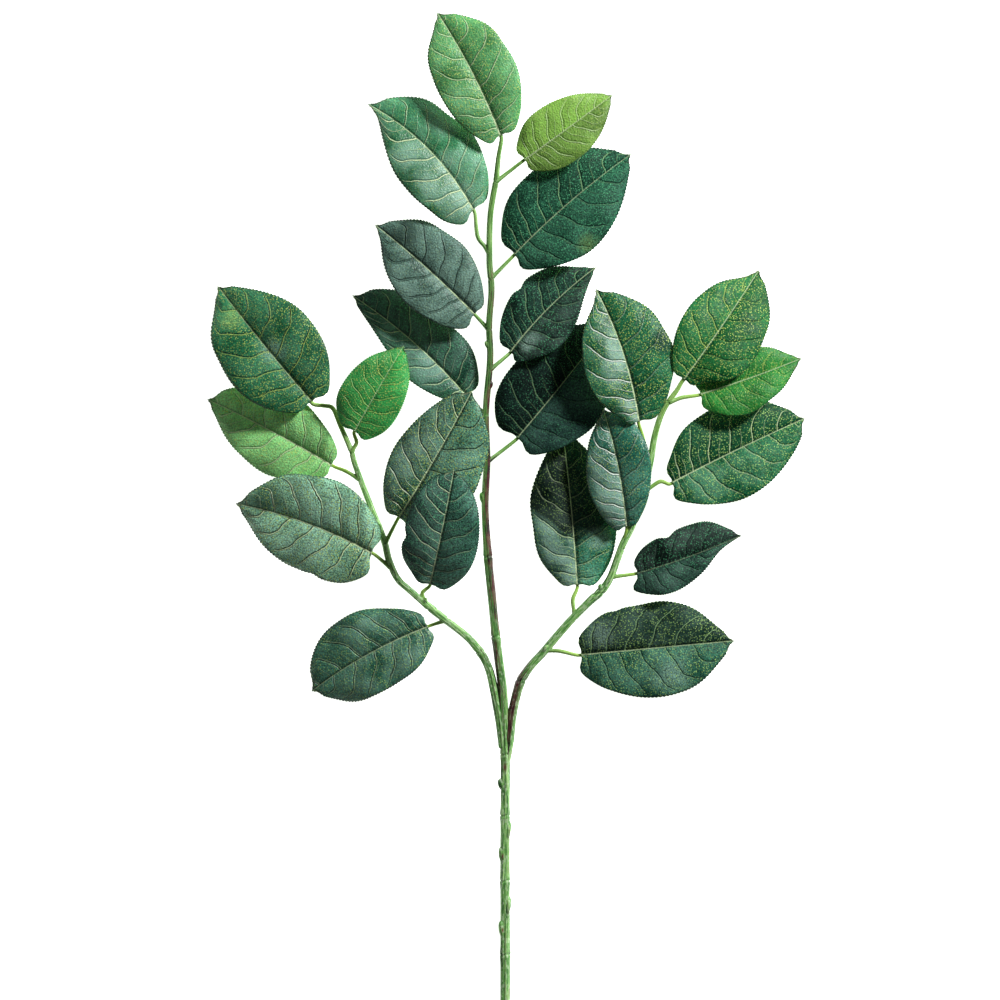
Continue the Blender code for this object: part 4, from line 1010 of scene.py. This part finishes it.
def path_frames(path):
    """Distance run, and two directions across the path, at each of its points."""
    places = [p.xyz for p in path]
    across = Vector((1, 0, 0))
    run, rows = 0.0, []
    for k, place in enumerate(places):
        ahead = (places[min(k + 1, len(places) - 1)] - places[max(k - 1, 0)]).normalized()
        across = (across - ahead * across.dot(ahead)).normalized()
        run += (place - places[k - 1]).length if k else 0.0
        rows.append((*place, path[k].w, run, *across, *ahead.cross(across)))
    return np.array(rows)


def follow(points, lines):
    """For each point: the nearest line's number, the distance run along it, its share, and the angle round it."""
    rows = np.concatenate([path_frames(line) for line in lines])
    owner = np.concatenate([np.full(len(line), k) for k, line in enumerate(lines)])
    nearest = np.empty(len(points), int)
    for start in range(0, len(points), FOLLOW_CHUNK):
        some = points[start:start + FOLLOW_CHUNK]
        gap = np.linalg.norm(some[:, None, :] - rows[None, :, :3], axis=-1) - rows[None, :, 3]
        nearest[start:start + FOLLOW_CHUNK] = gap.argmin(axis=1)
    found = rows[nearest]
    away = points - found[:, :3]
    angle = np.arctan2((away * found[:, 8:11]).sum(1), (away * found[:, 5:8]).sum(1))
    ends = np.array([rows[owner == k, 4].max() for k in range(len(lines))])
    return owner[nearest], found[:, 4], found[:, 4] / ends[owner[nearest]], angle


def model_stem(name, path, stalks, buds, woody, rings, youth):
    """One stem with its stalks and buds, grown into one skin, and what its bark follows."""
    lines = [path] + [stalk_path(stalk) for stalk in stalks]
    parts = [tube(line) for line in lines] + [bud(*measures) for measures in buds]
    select(*parts)
    bpy.ops.object.join()
    stem = bpy.context.object
    stem.name = name + "_bark"
    bpy.ops.object.transform_apply(location=True, rotation=True, scale=True)
    apply_modifier(stem, "REMESH", mode="VOXEL", voxel_size=VOXEL * MM)
    apply_modifier(stem, "SMOOTH", factor=0.5, iterations=3)

    # Ridges along the stem, rings round it, and what the bark's material follows
    mesh = stem.data
    points = read(mesh.vertices, "co") / MM
    outward = read(mesh.vertex_normals, "vector")
    owner, run, share, angle = follow(points, lines)
    on_stem = owner == 0
    relief = np.zeros(len(points))
    for count, depth, drift, turn in RIDGES:
        relief += depth * np.sin(count * angle + turn + 1.2 * np.sin(run / drift + turn))
    relief *= np.where(on_stem, 1 - 0.6 * share, 0.25)
    for y in rings:
        off = np.where(on_stem, points[:, 1] - y, 1e3)
        cut = off + 0.8 * np.sin(2 * angle)
        relief += RING_SWELL * np.exp(-(off / RING_LENGTH) ** 2) - RING_CUT * np.exp(-(cut / RING_CUT_LENGTH) ** 2)
    relief += np.where(on_stem, REGAIN, REGAIN_ON_STALK)
    points += outward * relief[:, None]
    mesh.vertices.foreach_set("co", (points * MM).ravel())
    mark(mesh, "stem_mm", np.stack([BARK_RADIUS * np.cos(angle), BARK_RADIUS * np.sin(angle),
                                    run + BARK_APART * owner], axis=-1))
    places, amounts, turns = zip(*woody)
    dark_side = np.cos(angle - np.interp(points[:, 1], places, turns))
    wood = np.interp(points[:, 1], places, amounts) * (0.8 + 0.4 * dark_side)
    wood *= np.where(on_stem, 1.0, np.clip(1 - 2.5 * share, 0, 1))
    mark(mesh, "wood", wood)
    tender = np.where(on_stem, np.clip((share - 0.75) * 2.5, 0, 1), np.clip(1.3 * share + 0.1, 0, 1)) * youth
    mark(mesh, "tender", tender)
    scar = np.zeros(len(points))
    for x, y, across, along in SCARS:
        scar += np.exp(-((points[:, 0] - x) / across) ** 2 - ((points[:, 1] - y) / along) ** 2)
    mark(mesh, "scar", scar * on_stem * (outward[:, 2] > 0))
    keep_inside(stem)
    select(stem)
    bpy.ops.object.shade_smooth()
    print(stem.name, "triangles:", count_triangles(stem))
    return stem


# %% Make the three stems
# Rings where old leaves stood: y of each
MAIN_RINGS = (-34, -90, -173, -216, -262, -314)
LEFT_RINGS = (-101, -71)
RIGHT_RINGS = (-121, -60)
# Along each stem: y, how woody it is, and the side that is darkest, as an angle from the right
MAIN_WOOD = ((-346, 0.25, 0.0), (-200, 0.25, 0.3), (-165, 0.3, 2.6), (-130, 0.6, 2.8), (-95, 0.75, 2.8),
             (-75, 0.7, 0.3), (20, 0.72, 0.0), (60, 0.55, 0.0), (110, 0.52, 0.0), (150, 0.5, 0.0),
             (185, 0.2, 0.0), (260, 0.0, 0.0))
LEFT_WOOD = ((-168, 0.2, 0.0), (-130, 0.3, 0.0), (-100, 0.35, 0.0), (-80, 0.1, 0.0), (10, 0.15, 3.0),
             (40, 0.35, 3.0), (75, 0.25, 3.0))
RIGHT_WOOD = ((-178, 0.5, 3.0), (-150, 1.0, 3.0), (-122, 1.0, 2.7), (-105, 0.4, 2.4), (-60, 0.15, 2.0),
              (85, 0.1, 2.0))

stems = {
    name: model_stem(name, *measures)
    for name, *measures in (
        ("main_stem", main_path, MAIN_STALKS, MAIN_BUDS, MAIN_WOOD, MAIN_RINGS, 0.25),
        ("left_branch", left_path, LEFT_STALKS, LEFT_BUDS, LEFT_WOOD, LEFT_RINGS, 1.0),
        ("right_branch", right_path, RIGHT_STALKS, RIGHT_BUDS, RIGHT_WOOD, RIGHT_RINGS, 0.85))
}

# %% [markdown]
# ## The finish of the stems
# Young bark is green and satin, with streaks along the stem where it turns to red-brown wood. The streaks are a
# noise pattern that is stretched along the stem. It reads coordinates that run with the stem, which each mesh
# carries, so the streaks bend where the stem bends. Low down the bark is paler, with light flecks.

# %% Material of the bark
STREAK_WIDTH, STREAK_LENGTH = 0.8, 14.0
FLECK_WIDTH, FLECK_LENGTH, FLECK_SHARE = 0.9, 2.8, 0.6  # coarser than on real bark, so that they show
PATCH_SIZE = 9.0
LOW_END, LOW_START = 200.0, 340.0  # mm along the stem: the low part is paler and has flecks
# Place and colour of the first, the last and the middle stop of each colour ramp
GREEN_STOPS = ((0.36, "#2f5c2a"), (0.66, "#a3cc80"), (0.5, "#5b9446"))
WOOD_STOPS = ((0.35, "#241519"), (0.68, "#6a5540"), (0.5, "#512028"))


def drawn_noise(tree, straight, width, length, detail):
    """A noise pattern of the given width in mm, drawn out along the stem."""
    scale = (1 / width, 1 / width, 1 / length)
    drawn = node(tree, "Mapping", {"Vector": straight, "Scale": scale})
    return node(tree, "TexNoise", {"Vector": drawn, "Scale": 1.0, "Detail": detail})


def bark():
    """Young bark, grown: IOR 1.45, satin, roughness 0.5, green with red-brown wooden streaks and pale flecks."""
    finish, tree, shader = new_material("green bark")
    straight = node(tree, "Attribute", out="Vector", attribute_name="stem_mm")
    wood, tender, scar = (node(tree, "Attribute", out="Fac", attribute_name=name)
                          for name in ("wood", "tender", "scar"))
    streaks = drawn_noise(tree, straight, STREAK_WIDTH, STREAK_LENGTH, 4.0)
    patches = node(tree, "TexNoise", {"Vector": straight, "Scale": 1 / PATCH_SIZE, "Detail": 3.0})
    ramps = []
    for pattern, (first, last, between) in ((streaks, GREEN_STOPS), (patches, WOOD_STOPS)):
        ramps.append(node(tree, "ValToRGB", (pattern,)))
        stops = ramps[-1].node.color_ramp.elements
        for k, (position, colour) in enumerate((first, last)):
            stops[k].position, stops[k].color = position, linear(colour)
        stops.new(between[0]).color = linear(between[1])

    # Green bark, yellower where it is young and paler low down, and wood where the streaks are strong
    young = node(tree, "Mix", {0: tender, 6: ramps[0], 7: linear("#9cc44c")}, out=2, data_type="RGBA")
    run = node(tree, "SeparateXYZ", (straight,), out="Z")
    low_down = node(tree, "MapRange", (run, LOW_END, LOW_START, 1.0, 0.0))
    gain = node(tree, "MapRange", {0: low_down, 3: 1.0, 4: 1.3})
    lit = node(tree, "HueSaturation", {"Color": young, "Value": gain})
    threshold = node(tree, "MapRange", {0: wood, 3: 0.75, 4: 0.2})
    over = node(tree, "Math", (streaks, threshold), operation="SUBTRACT")
    wooded = node(tree, "MapRange", (over, -0.04, 0.1))

    # Pale flecks low down, where the bark has cracked. They keep off the wood
    specks = drawn_noise(tree, straight, FLECK_WIDTH, FLECK_LENGTH, 2.0)
    fleck = node(tree, "MapRange", (specks, 0.52, 0.62, 0.0, FLECK_SHARE))
    off_wood = node(tree, "MapRange", {0: wooded, 3: 1.0, 4: 0.25})
    for factor in (low_down, off_wood):
        fleck = node(tree, "Math", (fleck, factor), operation="MULTIPLY")
    colour = lit
    for share, tint in ((wooded, ramps[1]), (fleck, linear("#c3dcb2")), (scar, linear("#6a1a2c"))):
        colour = node(tree, "Mix", {0: share, 6: colour, 7: tint}, out=2, data_type="RGBA")
    relief = node(tree, "Bump", {"Strength": 0.8, "Distance": 0.4 * MM, "Height": streaks})
    fill(shader, {"Base Color": colour, "Normal": relief, "Roughness": 0.5, "IOR": 1.45})
    return finish


green_bark = bark()
for name, stem in stems.items():
    stem.data.materials.clear()
    stem.data.materials.append(green_bark)
    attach(stem, "root")
    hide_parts(name)
print("stems with bark:", len(stems))
